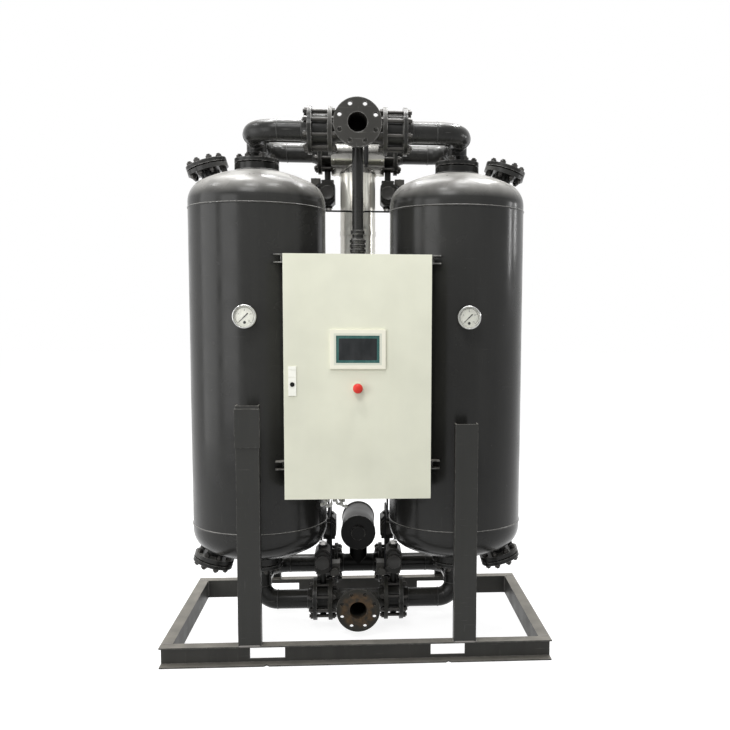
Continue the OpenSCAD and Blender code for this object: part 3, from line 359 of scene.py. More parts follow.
def clad_sheet(name, upright, shaded_drum, change_z):
    """Cladding of two bright metals: upright sheet with drawn streaks that are partly painted dark reflections, and
    above a height rolled sheet painted darker as painted shade of the dark surroundings it reflects.
    """
    material, tree, shader = start_material(name)
    above = remap(tree, object_xyz(tree)["Z"], change_z - 0.002, change_z + 0.002, 0.0, 1.0)
    streaks = remap(tree, object_noise(tree, 42.0, 4.0, (1.0, 1.0, 0.02)), 0.35, 0.65, 0.0, 1.0)
    # Broad upright streaks: drawn grain, and partly painted dark vertical reflections.
    drawn_streaks_and_reflections = mix_colour(tree, streaks, shade(upright, 0.66), shade(upright, 1.10))
    lines = object_noise(tree, 60.0, 4.0, (0.05, 1.0, 1.0))
    # Painted shade: the sheet above the change height is made dark, with rolled lines, for the dark surroundings it
    # reflects.
    rolled_and_shaded = mix_colour(tree, lines, shade(shaded_drum, 0.7), shade(shaded_drum, 1.3))
    dents = object_noise(tree, 13.0, 3.0, (1.0, 1.0, 0.25))
    set_surface(tree, shader, mix_colour(tree, above, drawn_streaks_and_reflections, rolled_and_shaded), remap(tree, dents, 0.3, 0.7, 0.14, 0.26))
    tree.links.new(remap(tree, above, 0.0, 1.0, 0.42, 0.95), shader.inputs["Metallic"])
    set_bump(tree, shader, dents, 0.5, 0.004, 0.001)
    return material


def moulded(name, colour, rough, texture=900.0, specular=0.3, recess_shade=None):
    """Moulded plastic or rubber: spark eroded texture, slight tone drift and handling marks.

    The last argument gives (height, half width, half height, colour) of a band round a window on the middle plane,
    painted darker as the shade of a recessed step."""
    material, tree, shader = start_material(name, Specular_IOR_Level=specular)
    drift = object_noise(tree, 14.0, 4.0)
    tint = mix_colour(tree, drift, shade(colour, 0.9), shade(colour, 1.08))
    # Painted shade: a darker band round the window stands in for the shade of a recessed step.
    if recess_shade:
        height, half_width, half_height, recess_shade_colour = recess_shade
        place = object_xyz(tree)
        rise = math_node(tree, "ABSOLUTE", math_node(tree, "SUBTRACT", place["Z"], height))
        aside = math_node(tree, "ABSOLUTE", place["X"])
        beyond = math_node(tree, "MAXIMUM", math_node(tree, "SUBTRACT", aside, half_width),
                           math_node(tree, "SUBTRACT", rise, half_height))
        tint = mix_colour(tree, remap(tree, beyond, 0.0006, -0.0006, 0.0, 1.0), tint, recess_shade_colour)
    tint = mix_colour(tree, masked(tree, SCUFFS, 0.12, Size=120.0), tint, shade(colour, 1.6))
    set_surface(tree, shader, tint, remap(tree, drift, 0.3, 0.7, rough - 0.05, rough + 0.07))
    set_bump(tree, shader, object_noise(tree, texture, 2.0), 0.25, 0.0001, 0.001)
    return material


def rusted_flange(name, colour, bare_and_highlight, face_y, centre_z, rust_reach):
    """Pipe paint whose front flange face has gone rusty: rust grows where the face turns to -Y near its bore."""
    material, tree, shader = start_material(name, Specular_IOR_Level=PAINT_GLOSS)
    grain = place_effect(tree, GRAIN, Peel=260.0)
    coat = mix_colour(tree, grain["Tone"], shade(colour, 0.8), shade(colour, 1.25))
    coat = mix_colour(tree, masked(tree, RUB_AND_HIGHLIGHT, 0.7, Radius=0.004), coat, bare_and_highlight)
    place = object_xyz(tree)
    radius = diagonal(tree, place["X"], math_node(tree, "SUBTRACT", place["Z"], centre_z))
    near = remap(tree, radius, rust_reach, 0.78 * rust_reach, 0.0, 1.0)
    front = remap(tree, place["Y"], face_y + 0.045, face_y + 0.004, 0.0, 1.0)
    blotch = remap(tree, object_noise(tree, 34.0, 7.0), 0.34, 0.58, 0.0, 1.0)
    rust = math_node(tree, "MULTIPLY", math_node(tree, "MULTIPLY", near, front), blotch)
    tone = mix_colour(tree, object_noise(tree, 150.0, 6.0), (0.042, 0.031, 0.020), (0.165, 0.108, 0.062))
    gloss = remap(tree, grain["Gloss"], 0.3, 0.7, 0.36, 0.5)
    gloss = math_node(tree, "ADD", gloss, math_node(tree, "MULTIPLY", rust, 0.4), True)
    set_surface(tree, shader, mix_colour(tree, rust, coat, tone), gloss)
    scale = math_node(tree, "MULTIPLY", object_noise(tree, 420.0, 5.0), rust)
    set_bump(tree, shader, math_node(tree, "ADD", scale, grain["Height"]), 0.5, 0.0004, 0.0015)
    return material


def bead_finish(name, colour):
    """Painted weld bead: the paint sits over chevrons, so it is a little glossier, and its edge rub makes the crests
    paler, partly as a painted highlight.
    """
    return coated_steel(name, colour, BARE_STEEL, 0.34, dust_and_sheen=0.2, streak=0.0, scuff=0.0, peel=700.0,
                        rub_and_highlight_radius=0.0015, rounded=0.0, specular=0.3)


def banded_plastic(name, colours, edges):
    """Devices on their rails: the colour steps with height at the given edges, with slots cut as fine dark lines."""
    material, tree, shader = start_material(name)
    height = object_xyz(tree)["Z"]
    colour = colours[0]
    for edge, following in zip(edges, colours[1:]):
        colour = mix_colour(tree, math_node(tree, "GREATER_THAN", height, edge), colour, following)
    slots = add(tree, "ShaderNodeTexWave", wave_type="BANDS", bands_direction="X", Scale=32.0)
    tree.links.new(add(tree, "ShaderNodeTexCoord").outputs["Object"], slots.inputs["Vector"])
    cut = remap(tree, slots.outputs["Fac"], 0.80, 0.92, 0.0, 0.6)
    colour = mix_colour(tree, cut, colour, (0.04, 0.04, 0.04))
    set_surface(tree, shader, colour, remap(tree, object_noise(tree, 20.0), 0.3, 0.7, 0.42, 0.55))
    set_bump(tree, shader, object_noise(tree, 700.0), 0.2, 0.0001, 0.0008)
    return material


def clear_pane(name):
    """Gauge glass: mostly clear, with a fine film of dust."""
    material, tree, shader = start_material(name, Base_Color=(0.95, 0.97, 0.96, 1.0))
    film = remap(tree, object_noise(tree, 40.0, 5.0), 0.35, 0.75, 0.02, 0.07)
    tree.links.new(film, shader.inputs["Alpha"])
    tree.links.new(remap(tree, object_noise(tree, 60.0), 0.3, 0.7, 0.04, 0.12), shader.inputs["Roughness"])
    return material


def screen_glass(name, colour, haze, rough, specular):
    """Operator panel glass: dark, glossy, with wiped smears."""
    material, tree, shader = start_material(name, Specular_IOR_Level=specular)
    smears = remap(tree, object_noise(tree, 26.0, 5.0, (1.0, 1.0, 0.35)), 0.40, 0.75, 0.0, 1.0)
    gloss = remap(tree, smears, 0.0, 1.0, rough, rough + 0.12)
    set_surface(tree, shader, mix_colour(tree, smears, colour, haze), gloss)
    return material


def granules(name, colour):
    """Loose desiccant beads: cells a few millimetres across, with painted shade darkening towards each cell's edge,
    and bulging.
    """
    material, tree, shader = start_material(name, Roughness=0.8)
    cells = add(tree, "ShaderNodeTexVoronoi", Scale=220.0)
    tree.links.new(add(tree, "ShaderNodeTexCoord").outputs["Object"], cells.inputs["Vector"])
    # Painted shade: colour darkens towards each cell's edge, where beads meet.
    tree.links.new(mix_colour(tree, cells.outputs["Distance"], colour, shade(colour, 0.55)),
                   shader.inputs["Base Color"])
    set_bump(tree, shader, cells.outputs["Distance"], 0.8, 0.002)
    return material


# Heavy pale dust that begins on gentle slopes makes the domes light: dust, and a painted sheen for the light the domes
# catch from above.
tower_paint = coated_steel("tower_paint", TOWER_GREY, BARE_STEEL, 0.21, dust_and_sheen=0.50, dust_and_sheen_colour=(0.60, 0.585, 0.55),
                           rub_and_highlight_amount=0.25, scuff=0.02, peel=240.0, rounded=0.0, pads=VALVE_GREY, steepest=0.12)
# Beam paint: the posts' coat painted lighter against the shade under the top flanges; its dust also lightens the top
# flanges as a painted sheen.
skid_paint_lightened = coated_steel("skid_paint_lightened", SKID_GREY_PAINTED_LIGHTER, BARE_STEEL, 0.45, dust_and_sheen=0.62, dust_and_sheen_colour=(0.33, 0.31, 0.27),
                          rub_and_highlight_radius=0.004, rub_and_highlight_amount=0.65, scuff=0.12)
# Rail ends and edges go pale: edge wear, and a painted highlight on the flange edges.
rail_paint = coated_steel("rail_paint", (0.080, 0.079, 0.074), (0.55, 0.54, 0.52), 0.38, dust_and_sheen=0.7, rub_and_highlight_radius=0.006,
                          rub_and_highlight_amount=0.85, scuff=0.06)
post_paint = coated_steel("post_paint", POST_GREY, BARE_STEEL, 0.40, dust_and_sheen=0.5, rub_and_highlight_radius=0.004, rub_and_highlight_amount=0.55, scuff=0.06)
# Pipe and flange rims go towards pale steel: edge wear, and a painted highlight on the rims.
pipe_paint = coated_steel("pipe_paint", PIPE_GREY, PIPE_STEEL, 0.25, dust_and_sheen=0.14, rub_and_highlight_radius=0.007, rub_and_highlight_amount=0.65)
flange_paint = coated_steel("flange_paint", FLANGE_GREY, PIPE_STEEL, 0.36, dust_and_sheen=0.16, rub_and_highlight_radius=0.007, rub_and_highlight_amount=0.65)
# The silencer's rims go pale: edge wear, and a painted highlight on its end rim.
silencer_paint = coated_steel("silencer_paint", (0.0065, 0.0065, 0.0060), CAST_STEEL, 0.34, dust_and_sheen=0.04, rub_and_highlight_radius=0.006,
                              rub_and_highlight_amount=0.8, streak=0.1, scuff=0.03, specular=0.12)
valve_paint = coated_steel("valve_paint", VALVE_GREY, CAST_STEEL, 0.36, dust_and_sheen=0.12, rub_and_highlight_radius=0.004, rub_and_highlight_amount=0.6,
                           peel=180.0, peel_depth=0.0004)
upper_actuator, lower_actuator = (
    coated_steel(name, ACTUATOR_GREY, (0.22, 0.21, 0.19), 0.36, dust_and_sheen=0.12, rub_and_highlight_amount=0.3, streak=0.0,
                 fitted=(near, far, PILOT_GREY))
    for name, near, far in (("upper_actuator", 0.1825, 0.1835), ("lower_actuator", 0.1315, 0.1305)))
# The lids' rolled rims go pale through strong edge rub: a painted highlight, with some wear.
cap_edge = coated_steel("cap_edge", (0.024, 0.023, 0.021), BARE_STEEL, 0.30, dust_and_sheen=0.1, rub_and_highlight_radius=0.002, rub_and_highlight_amount=0.9,
                        streak=0.0, scuff=0.0, rounded=0.0, specular=0.3)
# The cabinet's edges go near white: a painted edge highlight, with some wear.
cabinet_coat = coated_steel("cabinet_coat", CREAM, (0.92, 0.92, 0.86), 0.42, dust_and_sheen=0.05, rub_and_highlight_radius=0.004, rub_and_highlight_amount=0.6,
                            streak=0.03, scuff=0.03, peel=520.0, peel_depth=0.00008, rounded=0.002, specular=0.3)
inlet_paint = rusted_flange("inlet_paint", (0.030, 0.029, 0.025), (0.30, 0.28, 0.25), -0.150, INLET_Z, 0.088)
# Weld paint is the tower grey made lighter: a painted highlight for the light the beads catch.
weld_paint_highlighted = bead_finish("weld_paint_highlighted", shade(TOWER_GREY, 1.7))
raw_weld = bead_finish("raw_weld", (0.20, 0.19, 0.18))
# Above 2.168 the tee jacket is painted dark as painted shade of its reflected surroundings; the upright sheet's
# streaks are partly painted reflections.
cladding = clad_sheet("cladding", (1.00, 0.95, 0.84), (0.25, 0.245, 0.23), 2.168)
valve_steel = rolled_metal("valve_steel", (0.56, 0.55, 0.53), 0.34, (1.0, 1.0, 0.1))
stud_steel = rolled_metal("stud_steel", (0.055, 0.053, 0.050), 0.42, tarnish=0.5)
zinc_plate = rolled_metal("zinc_plate", (0.66, 0.66, 0.63), 0.40)
gauge_metal = rolled_metal("gauge_metal", (0.50, 0.50, 0.49), 0.17, tarnish=0.08)
lock_metal = rolled_metal("lock_metal", (0.02, 0.02, 0.02), 0.40)
probe_metal = rolled_metal("probe_metal", (0.03, 0.03, 0.03), 0.45)
# The bezel's darker band round the screen is painted shade of a recessed step.
panel_plastic = moulded("panel_plastic", (0.86, 0.84, 0.71), 0.42, recess_shade=(1.345, 0.097, 0.0645, (0.66, 0.68, 0.58)))
stop_red = moulded("stop_red", (0.66, 0.035, 0.022), 0.32, texture=600.0)
stop_pale = moulded("stop_pale", (0.72, 0.70, 0.55), 0.45)
lock_white = moulded("lock_white", (0.90, 0.90, 0.82), 0.42)
pointer_black = moulded("pointer_black", (0.010, 0.0095, 0.0085), 0.5, specular=PAINT_GLOSS)
gasket_fibre = moulded("gasket_fibre", (0.010, 0.010, 0.0095), 0.75, texture=400.0, specular=PAINT_GLOSS)
fitting_grey = moulded("fitting_grey", (0.42, 0.42, 0.40), 0.35, specular=0.4)
tube_plastic = moulded("tube_plastic", (0.008, 0.008, 0.009), 0.40, specular=0.08)
dial_white = moulded("dial_white", (0.76, 0.76, 0.68), 0.55, specular=0.5)
switch_plastic = banded_plastic("switch_plastic", [DEVICE_GREY, (0.10, 0.10, 0.11), DEVICE_GREY, (0.62, 0.62, 0.60),
                                                   DEVICE_GREY, (0.07, 0.08, 0.09), DEVICE_GREY],
                                [0.905, 1.020, 1.120, 1.300, 1.400, 1.570])
gauge_glass = clear_pane("gauge_glass")
screen_teal = screen_glass("screen_teal", (0.035, 0.115, 0.105), (0.060, 0.150, 0.135), 0.22, 0.25)
screen_dark = screen_glass("screen_dark", (0.010, 0.012, 0.013), (0.026, 0.028, 0.030), 0.10, 0.25)
desiccant = granules("desiccant", (0.80, 0.77, 0.68))


def sides(*names):
    """The left and the right node of each name."""
    return [side + name for name in names for side in ("left_", "right_")]


FINISHES = {
    tower_paint: sides("vessel"),
    skid_paint_lightened: ["front_beam", "rear_beam", "side_beams"],
    post_paint: ["front_posts", "rear_posts"],
    rail_paint: ["upper_rail", "lower_rail"],
    flange_paint: ["outlet_tee"],
    pipe_paint: ["port_covers", "equalising_pipe", *sides("top_header", "bottom_header"), "heater_tube", "purge_line"],
    silencer_paint: ["exhaust_pipe", "silencer"],
    inlet_paint: ["inlet_tee"],
    valve_paint: [*sides("check_valve", "regen_valve", "inlet_valve"), "exhaust_valves"],
    upper_actuator: sides("regen_actuator"),
    lower_actuator: sides("inlet_actuator"),
    valve_steel: [*sides("check_disc", "regen_disc", "inlet_disc"), "heater_element"],
    cabinet_coat: ["cabinet_body", "cabinet_door"],
    zinc_plate: ["mounting_plate"],
    switch_plastic: ["switchgear"],
    panel_plastic: ["hmi_bezel"],
    screen_teal: ["hmi_screen"],
    stop_pale: ["estop_collar"],
    stop_red: ["estop_button"],
    lock_white: ["lock_plate"],
    lock_metal: ["lock_cam"],
    gauge_metal: sides("gauge"),
    pointer_black: sides("gauge_pointer"),
    gauge_glass: ["gauge_lenses"],
    cladding: ["heater_jacket"],
    probe_metal: ["temperature_probe"],
    stud_steel: ["flange_studs"],
    gasket_fibre: ["flange_gaskets"],
    tube_plastic: ["pilot_tubes"],
    desiccant: ["desiccant_beds"],
}
for finish, names in FINISHES.items():
    for name in names:
        NODES[name].data.materials.clear()
        NODES[name].data.materials.append(finish)


# Mesh helpers

def grid_faces(rows, columns, wrap_rows=False, wrap_columns=False):
    """Quads of a grid of points numbered row by row, closed on itself where it wraps."""
    row = np.arange(rows if wrap_rows else rows - 1)
    column = np.arange(columns if wrap_columns else columns - 1)
    first, second = np.meshgrid(row, column, indexing="ij")
    below = (first + 1) % rows
    beside = (second + 1) % columns
    corners = [first * columns + second, first * columns + beside, below * columns + beside, below * columns + second]
    return np.stack(corners, -1).reshape(-1, 4)


def join(parts):
    """One pair of points and faces out of many."""
    offsets = np.cumsum([0] + [len(points) for points, _ in parts[:-1]])
    points = np.concatenate([points for points, _ in parts])
    faces = np.concatenate([faces + offset for (_, faces), offset in zip(parts, offsets)])
    return points, faces


def piece(name, parts, finish, body, smooth=True):
    """Makes one object at the origin from surfaces, closes its poles, turns its faces outwards and lets it ride."""
    points, faces = join(parts)
    mesh = bpy.data.meshes.new(name)
    mesh.from_pydata(points.tolist(), [], faces.tolist())
    work = bmesh.new()
    work.from_mesh(mesh)
    bmesh.ops.remove_doubles(work, verts=work.verts, dist=1e-6)
    bmesh.ops.recalc_face_normals(work, faces=work.faces)
    work.to_mesh(mesh)
    work.free()
    mesh.polygons.foreach_set("use_smooth", np.full(len(mesh.polygons), smooth))
    mesh.materials.append(finish)
    made = bpy.data.objects.new(name, mesh)
    bpy.context.scene.collection.objects.link(made)
    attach(made, body)
    return made


SMOOTH = 10.0


def swept_bead(path, size, reference, closed, chevron=0.006):
    """A weld bead: a circle carried along a path, its radius rippling once per chevron, run out at open ends.

    The circle stands in the plane of the reference direction and the path's side direction. A chevron as long
    as SMOOTH leaves hardly any ripple."""
    following = np.roll(path, -1, axis=0) - np.roll(path, 1, axis=0)
    if not closed:
        following[0] = path[1] - path[0]
        following[-1] = path[-1] - path[-2]
    tangent = following / np.linalg.norm(following, axis=1, keepdims=True)
    side = np.cross(tangent, reference)
    side = side / np.linalg.norm(side, axis=1, keepdims=True)
    rise = np.cross(side, tangent)
    steps = np.linalg.norm(np.diff(path, axis=0), axis=1)
    travelled = np.concatenate([[0.0], np.cumsum(steps)])
    radius = size * (1.0 + 0.16 * np.abs(np.sin(np.pi * travelled / chevron)))
    if not closed:
        ends = np.minimum(travelled, travelled[-1] - travelled) / (2.5 * size)
        radius = radius * np.sqrt(np.clip(ends, 0.0, 1.0))
    turn = np.linspace(0.0, 2.0 * np.pi, 8, endpoint=False)
    ring = side[:, None] * np.cos(turn)[None, :, None] + rise[:, None] * np.sin(turn)[None, :, None]
    points = path[:, None] + ring * radius[:, None, None]
    return points.reshape(-1, 3), grid_faces(len(path), 8, wrap_rows=closed, wrap_columns=True)


def circle(axis, count):
    """Unit directions right round an axis: cosine and sine of the turn along two square directions."""
    axis = np.array(axis, float)
    helper = np.array([0.0, 0.0, 1.0]) if abs(axis[2]) < 0.9 else np.array([1.0, 0.0, 0.0])
    first = np.cross(helper, axis)
    first = first / np.linalg.norm(first)
    second = np.cross(axis, first)
    turn = np.linspace(0.0, 2.0 * np.pi, count, endpoint=False)
    return np.cos(turn)[:, None] * first + np.sin(turn)[:, None] * second


def ring_bead(centre, axis, radius, size=0.0022, count=144):
    """A bead right round a pipe."""
    return swept_bead(np.array(centre) - radius * circle(axis, count), size, np.array(axis, float), True)


def line_bead(start, end, size, reference):
    """A straight bead from start to end, one row of points every two millimetres."""
    start, end = np.array(start, float), np.array(end, float)
    count = max(8, int(np.linalg.norm(end - start) / 0.002))
    share = np.linspace(0.0, 1.0, count)[:, None]
    return swept_bead(start + (end - start) * share, size, np.array(reference, float), False)


def lathe(profile, centre, axis, count=64):
    """A profile of (radius, height) rows turned about an axis through the centre."""
    radius, height = np.array(profile, float).T[:, :, None, None]
    points = np.array(centre) + radius * circle(axis, count) + height * np.array(axis, float)
    return points.reshape(-1, 3), grid_faces(len(profile), count, wrap_columns=True)


def mirrored(part):
    """The same surface on the other side of the middle plane, with its faces turned back outwards."""
    points, faces = part
    return points * np.array([-1.0, 1.0, 1.0]), faces[:, ::-1]


def both_sides(parts):
    """Left side surfaces with their right side mirror images."""
    return parts + [mirrored(part) for part in parts]


# Weld beads

def pipe_weld_beads():
    """Butt welds of the pipework: rings where hubs, pipes and elbows meet, left side then right."""
    x_axis, y_axis, z_axis = (1, 0, 0), (0, 1, 0), (0, 0, 1)
    hub_x, rear_hub_x = -0.238, -0.218
    outlet_stub_x, inlet_stub_x, exhaust_stub_x = -0.082, -0.096, -0.076
    top_neck_z, low_neck_z = 2.207, 0.274
    outlet_hub_y, inlet_hub_y = OUTLET_Y - 0.139, VESSEL_Y - 0.134
    elbow_x, rear_elbow_y = -VESSEL_X + BEND_R, REGEN_Y - BEND_R
    joints = [((x, OUTLET_Y, OUTLET_Z), x_axis) for x in (hub_x, elbow_x, outlet_stub_x)]
    joints += [((x, REGEN_Y, OUTLET_Z), x_axis) for x in (elbow_x, rear_hub_x)]
    joints += [((-VESSEL_X, y, OUTLET_Z), y_axis) for y in (OUTLET_Y + BEND_R, rear_elbow_y)]
    joints += [((x, VESSEL_Y, INLET_Z), x_axis) for x in (hub_x, -VESSEL_X + SHORT_R, inlet_stub_x)]
    joints += [((-VESSEL_X, VESSEL_Y, z), z_axis) for z in (top_neck_z, INLET_Z + SHORT_R, low_neck_z)]
    joints += [((x, REGEN_Y, EXHAUST_Z), x_axis) for x in (elbow_x, rear_hub_x, exhaust_stub_x)]
    joints.append(((-VESSEL_X, rear_elbow_y, EXHAUST_Z), y_axis))
    rings = both_sides([ring_bead(centre, axis, PIPE_R) for centre, axis in joints])
    rings.append(ring_bead((0, outlet_hub_y, OUTLET_Z), y_axis, PIPE_R))
    rings.append(ring_bead((0, inlet_hub_y, INLET_Z), y_axis, PIPE_R))
    return piece("pipe_weld_beads", rings, weld_paint_highlighted, "dryer")


def port_root_path(top):
    """Where a tilted port neck meets the spherical crown: each line of the neck is cut with the sphere."""
    turn = np.linspace(0.0, 2.0 * np.pi, 144, endpoint=False)
    axis = np.array([-math.sin(PORT_TILT), 0.0, math.cos(PORT_TILT)])
    first = np.array([math.cos(PORT_TILT), 0.0, math.sin(PORT_TILT)])
    second = np.array([0.0, 1.0, 0.0])
    root_z = APEX_HIGH - CROWN_R + math.sqrt(CROWN_R ** 2 - PORT_X ** 2)
    crown = np.array([-VESSEL_X, VESSEL_Y, APEX_HIGH - CROWN_R])
    start = np.array([-VESSEL_X - PORT_X, VESSEL_Y, root_z])
    start = start + PORT_R * (np.cos(turn)[:, None] * first + np.sin(turn)[:, None] * second)
    along = (start - crown) @ axis
    height = np.sqrt(along ** 2 - np.sum((start - crown) ** 2, axis=1) + CROWN_R ** 2) - along
    path = start + height[:, None] * axis
    if not top:
        path[:, 2] = SEAM_LOW + SEAM_HIGH - path[:, 2]
        axis = axis * np.array([1.0, 1.0, -1.0])
    return path, axis


def vessel_weld_beads():
    """Fillets round the studded pads and port necks, and each shell's upright seam at the back."""
    pad_drop = 0.0085
    beads = [ring_bead((-VESSEL_X, VESSEL_Y, level), (0, 0, 1), PAD_R, 0.004, 320)
             for level in (APEX_HIGH - pad_drop, APEX_LOW + pad_drop)]
    for top in (True, False):
        path, axis = port_root_path(top)
        beads.append(swept_bead(path, 0.004, axis, True))
    seam_turn = math.radians(65)
    foot = (-VESSEL_X - VESSEL_R * math.cos(seam_turn), VESSEL_Y + VESSEL_R * math.sin(seam_turn))
    beads.append(line_bead((*foot, SEAM_LOW + 0.004), (*foot, SEAM_HIGH - 0.004), 0.003, (1, 0, 0)))
    return piece("vessel_weld_beads", both_sides(beads), weld_paint_highlighted, "dryer")


def frame_weld_beads():
    """Fillets at the post feet and the beam corners."""
    upright, sideways = (0, 0, 1), (1, 0, 0)
    half_post = 0.048
    beads = []
    beam_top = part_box("front_beam")[1].z
    low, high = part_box("front_posts")
    front_low, front_high = low.y + 0.005, high.y
    low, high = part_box("rear_posts")
    rear_low, rear_high = low.y, high.y - 0.002
    for centre in (-VESSEL_X, VESSEL_X):
        left, right = centre - half_post, centre + half_post
        beads.append(line_bead((left, front_low, beam_top), (right, front_low, beam_top), 0.004, upright))
        for side in (left, right):
            for near, far in ((front_low, front_high), (rear_low, rear_high)):
                beads.append(line_bead((side, near, beam_top), (side, far, beam_top), 0.0035, upright))
    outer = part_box("side_beams")[1].x
    flange_start, flange_end, web = -outer + 0.004, -outer + 0.048, -outer + 0.050
    corners = []
    for y in (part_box("front_beam")[1].y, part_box("rear_beam")[0].y):
        corners.append(line_bead((flange_start, y, beam_top), (flange_end, y, beam_top), 0.0025, upright))
        corners.append(line_bead((web, y, 0.006), (web, y, beam_top), 0.003, sideways))
    beads += both_sides(corners)
    return piece("frame_weld_beads", beads, raw_weld, "dryer")


def lug_weld_beads():
    """Upright fillets where the support lugs meet the shells, front and back."""
    lug_foot, lug_top = 0.732, 0.988
    beads = []
    for offset in (-0.029, -0.019, 0.019, 0.029):
        reach = math.sqrt(VESSEL_R ** 2 - offset ** 2)
        for side in (-1, 1):
            x, y = -VESSEL_X + offset, VESSEL_Y + side * reach
            beads.append(line_bead((x, y, lug_foot), (x, y, lug_top), 0.0035, (1, 0, 0)))
    return piece("lug_weld_beads", both_sides(beads), weld_paint_highlighted, "dryer")


# Gauges

def flat_strip(inner, outer, turn, width, level):
    """A tick on a dial: a thin bar from the inner to the outer radius at a clock turn from the top."""
    direction = np.array([math.sin(turn), 0.0, math.cos(turn)])
    across = np.array([math.cos(turn), 0.0, -math.sin(turn)]) * width / 2
    corners = [direction * inner - across, direction * inner + across, direction * outer + across,
               direction * outer - across]
    front = np.array(corners) + np.array([0.0, level - 0.0002, 0.0])
    back = np.array(corners) + np.array([0.0, level, 0.0])
    faces = np.array([[0, 1, 2, 3], [7, 6, 5, 4], [0, 4, 5, 1], [1, 5, 6, 2], [2, 6, 7, 3], [3, 7, 4, 0]])
    return np.concatenate([front, back]), faces


def numeral(text, size, centre, level):
    """A number as a flat mesh standing in the dial's plane; returns its points and triangles."""
    curve = bpy.data.curves.new("numeral_" + text, "FONT")
    curve.body = text
    curve.size = size
    curve.align_x = "CENTER"
    curve.align_y = "CENTER"
    holder = bpy.data.objects.new("numeral_" + text, curve)
    mesh = bpy.data.meshes.new_from_object(holder)
    mesh.calc_loop_triangles()
    flat = np.array([vertex.co for vertex in mesh.vertices])
    triangles = np.array([triangle.vertices for triangle in mesh.loop_triangles])
    bpy.data.objects.remove(holder)
    bpy.data.curves.remove(curve)
    bpy.data.meshes.remove(mesh)
    points = np.stack([flat[:, 0] + centre[0], np.full(len(flat), level), flat[:, 1] + centre[1]], -1)
    return points, np.concatenate([triangles, triangles[:, :1]], axis=1)


def gauge_dials():
    """A pale dial in each gauge with its scale from zero at the lower left, three quarters of a turn."""
    sweep_start, sweep = math.radians(-135), math.radians(270)
    steps, arc_rows = 40, 97
    tick_r, line_radii, numeral_r, plug_z = 0.039, (0.0388, 0.0396), 0.0265, -0.0245
    face_profile = [(0.0, 0.0006), (DIAL_R - 0.0006, 0.0006), (DIAL_R, 0.0003), (DIAL_R, 0.0), (0.0, 0.0)]
    plug_profile = [(0.0, 0.0016), (0.0052, 0.0016), (0.0062, 0.0008), (0.0062, 0.0)]
    marks = []
    for step in range(steps + 1):
        inner, width = 0.0365, 0.0006
        if step % 10 == 0:
            inner, width = 0.033, 0.0012
        elif step % 5 == 0:
            inner = 0.0350
        marks.append(flat_strip(inner, tick_r, sweep_start + sweep * step / steps, width, -0.0007))
    arc = np.linspace(sweep_start, sweep_start + sweep, arc_rows)
    rows = [np.stack([radius * np.sin(arc), np.full(arc_rows, -0.0008), radius * np.cos(arc)], -1)
            for radius in line_radii]
    marks.append((np.concatenate(rows), grid_faces(2, arc_rows)))
    marks.append(lathe(plug_profile, (0, 0, plug_z), (0, -1, 0), 32))
    for index, text in enumerate(("0", "4", "8", "12", "16")):
        turn = sweep_start + sweep * index / 4
        marks.append(numeral(text, 0.0085, (numeral_r * math.sin(turn), numeral_r * math.cos(turn)), -0.0008))
    for side, name in ((-1, "left"), (1, "right")):
        place = np.array([side * GAUGE_X, DIAL_Y, GAUGE_Z])
        face = lathe(face_profile, place, (0, -1, 0), 96)
        piece(name + "_dial_face", [face], dial_white, "dryer")
        moved = [(points + place, faces) for points, faces in marks]
        piece(name + "_dial_marks", moved, pointer_black, "dryer", smooth=False)


# Door fittings

def rounded_plate(width, height, depth, corner, centre, rows=24):
    """A flat plate with round corners facing -Y: an outline of four quarter circles, then a rim and a crown edge."""
    turn = np.linspace(0.0, np.pi / 2, rows)
    half = np.array([width / 2 - corner, height / 2 - corner])
    signs = [(1, 1), (-1, 1), (-1, -1), (1, -1)]
    outline = np.concatenate([
        np.stack([corner * np.cos(turn + quarter * np.pi / 2) + sx * half[0],
                  corner * np.sin(turn + quarter * np.pi / 2) + sz * half[1]], -1)
        for quarter, (sx, sz) in enumerate(signs)])
    bevel = min(corner, depth) * 0.5
    shrink = 1.0 - bevel / np.array([width / 2, height / 2])
    layers = [(outline * 0.0, 0.0), (outline, 0.0), (outline, depth - bevel), (outline * (1 - (1 - shrink) * 0.3),
              depth - 0.3 * bevel), (outline * shrink, depth), (outline * 0.0, depth)]
    points = [np.stack([flat[:, 0] + centre[0], np.full(len(flat), centre[1] - level), flat[:, 1] + centre[2]], -1)
              for flat, level in layers]
    return np.concatenate(points), grid_faces(len(layers), len(outline), wrap_columns=True)


def panel_screen():
    """The dark display behind the panel's teal border."""
    low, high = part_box("hmi_screen")
    plate = rounded_plate(0.154, 0.088, 0.0012, 0.003, (0.0, low.y, (low.z + high.z) / 2))
    return piece("panel_display", [plate], screen_dark, "door")


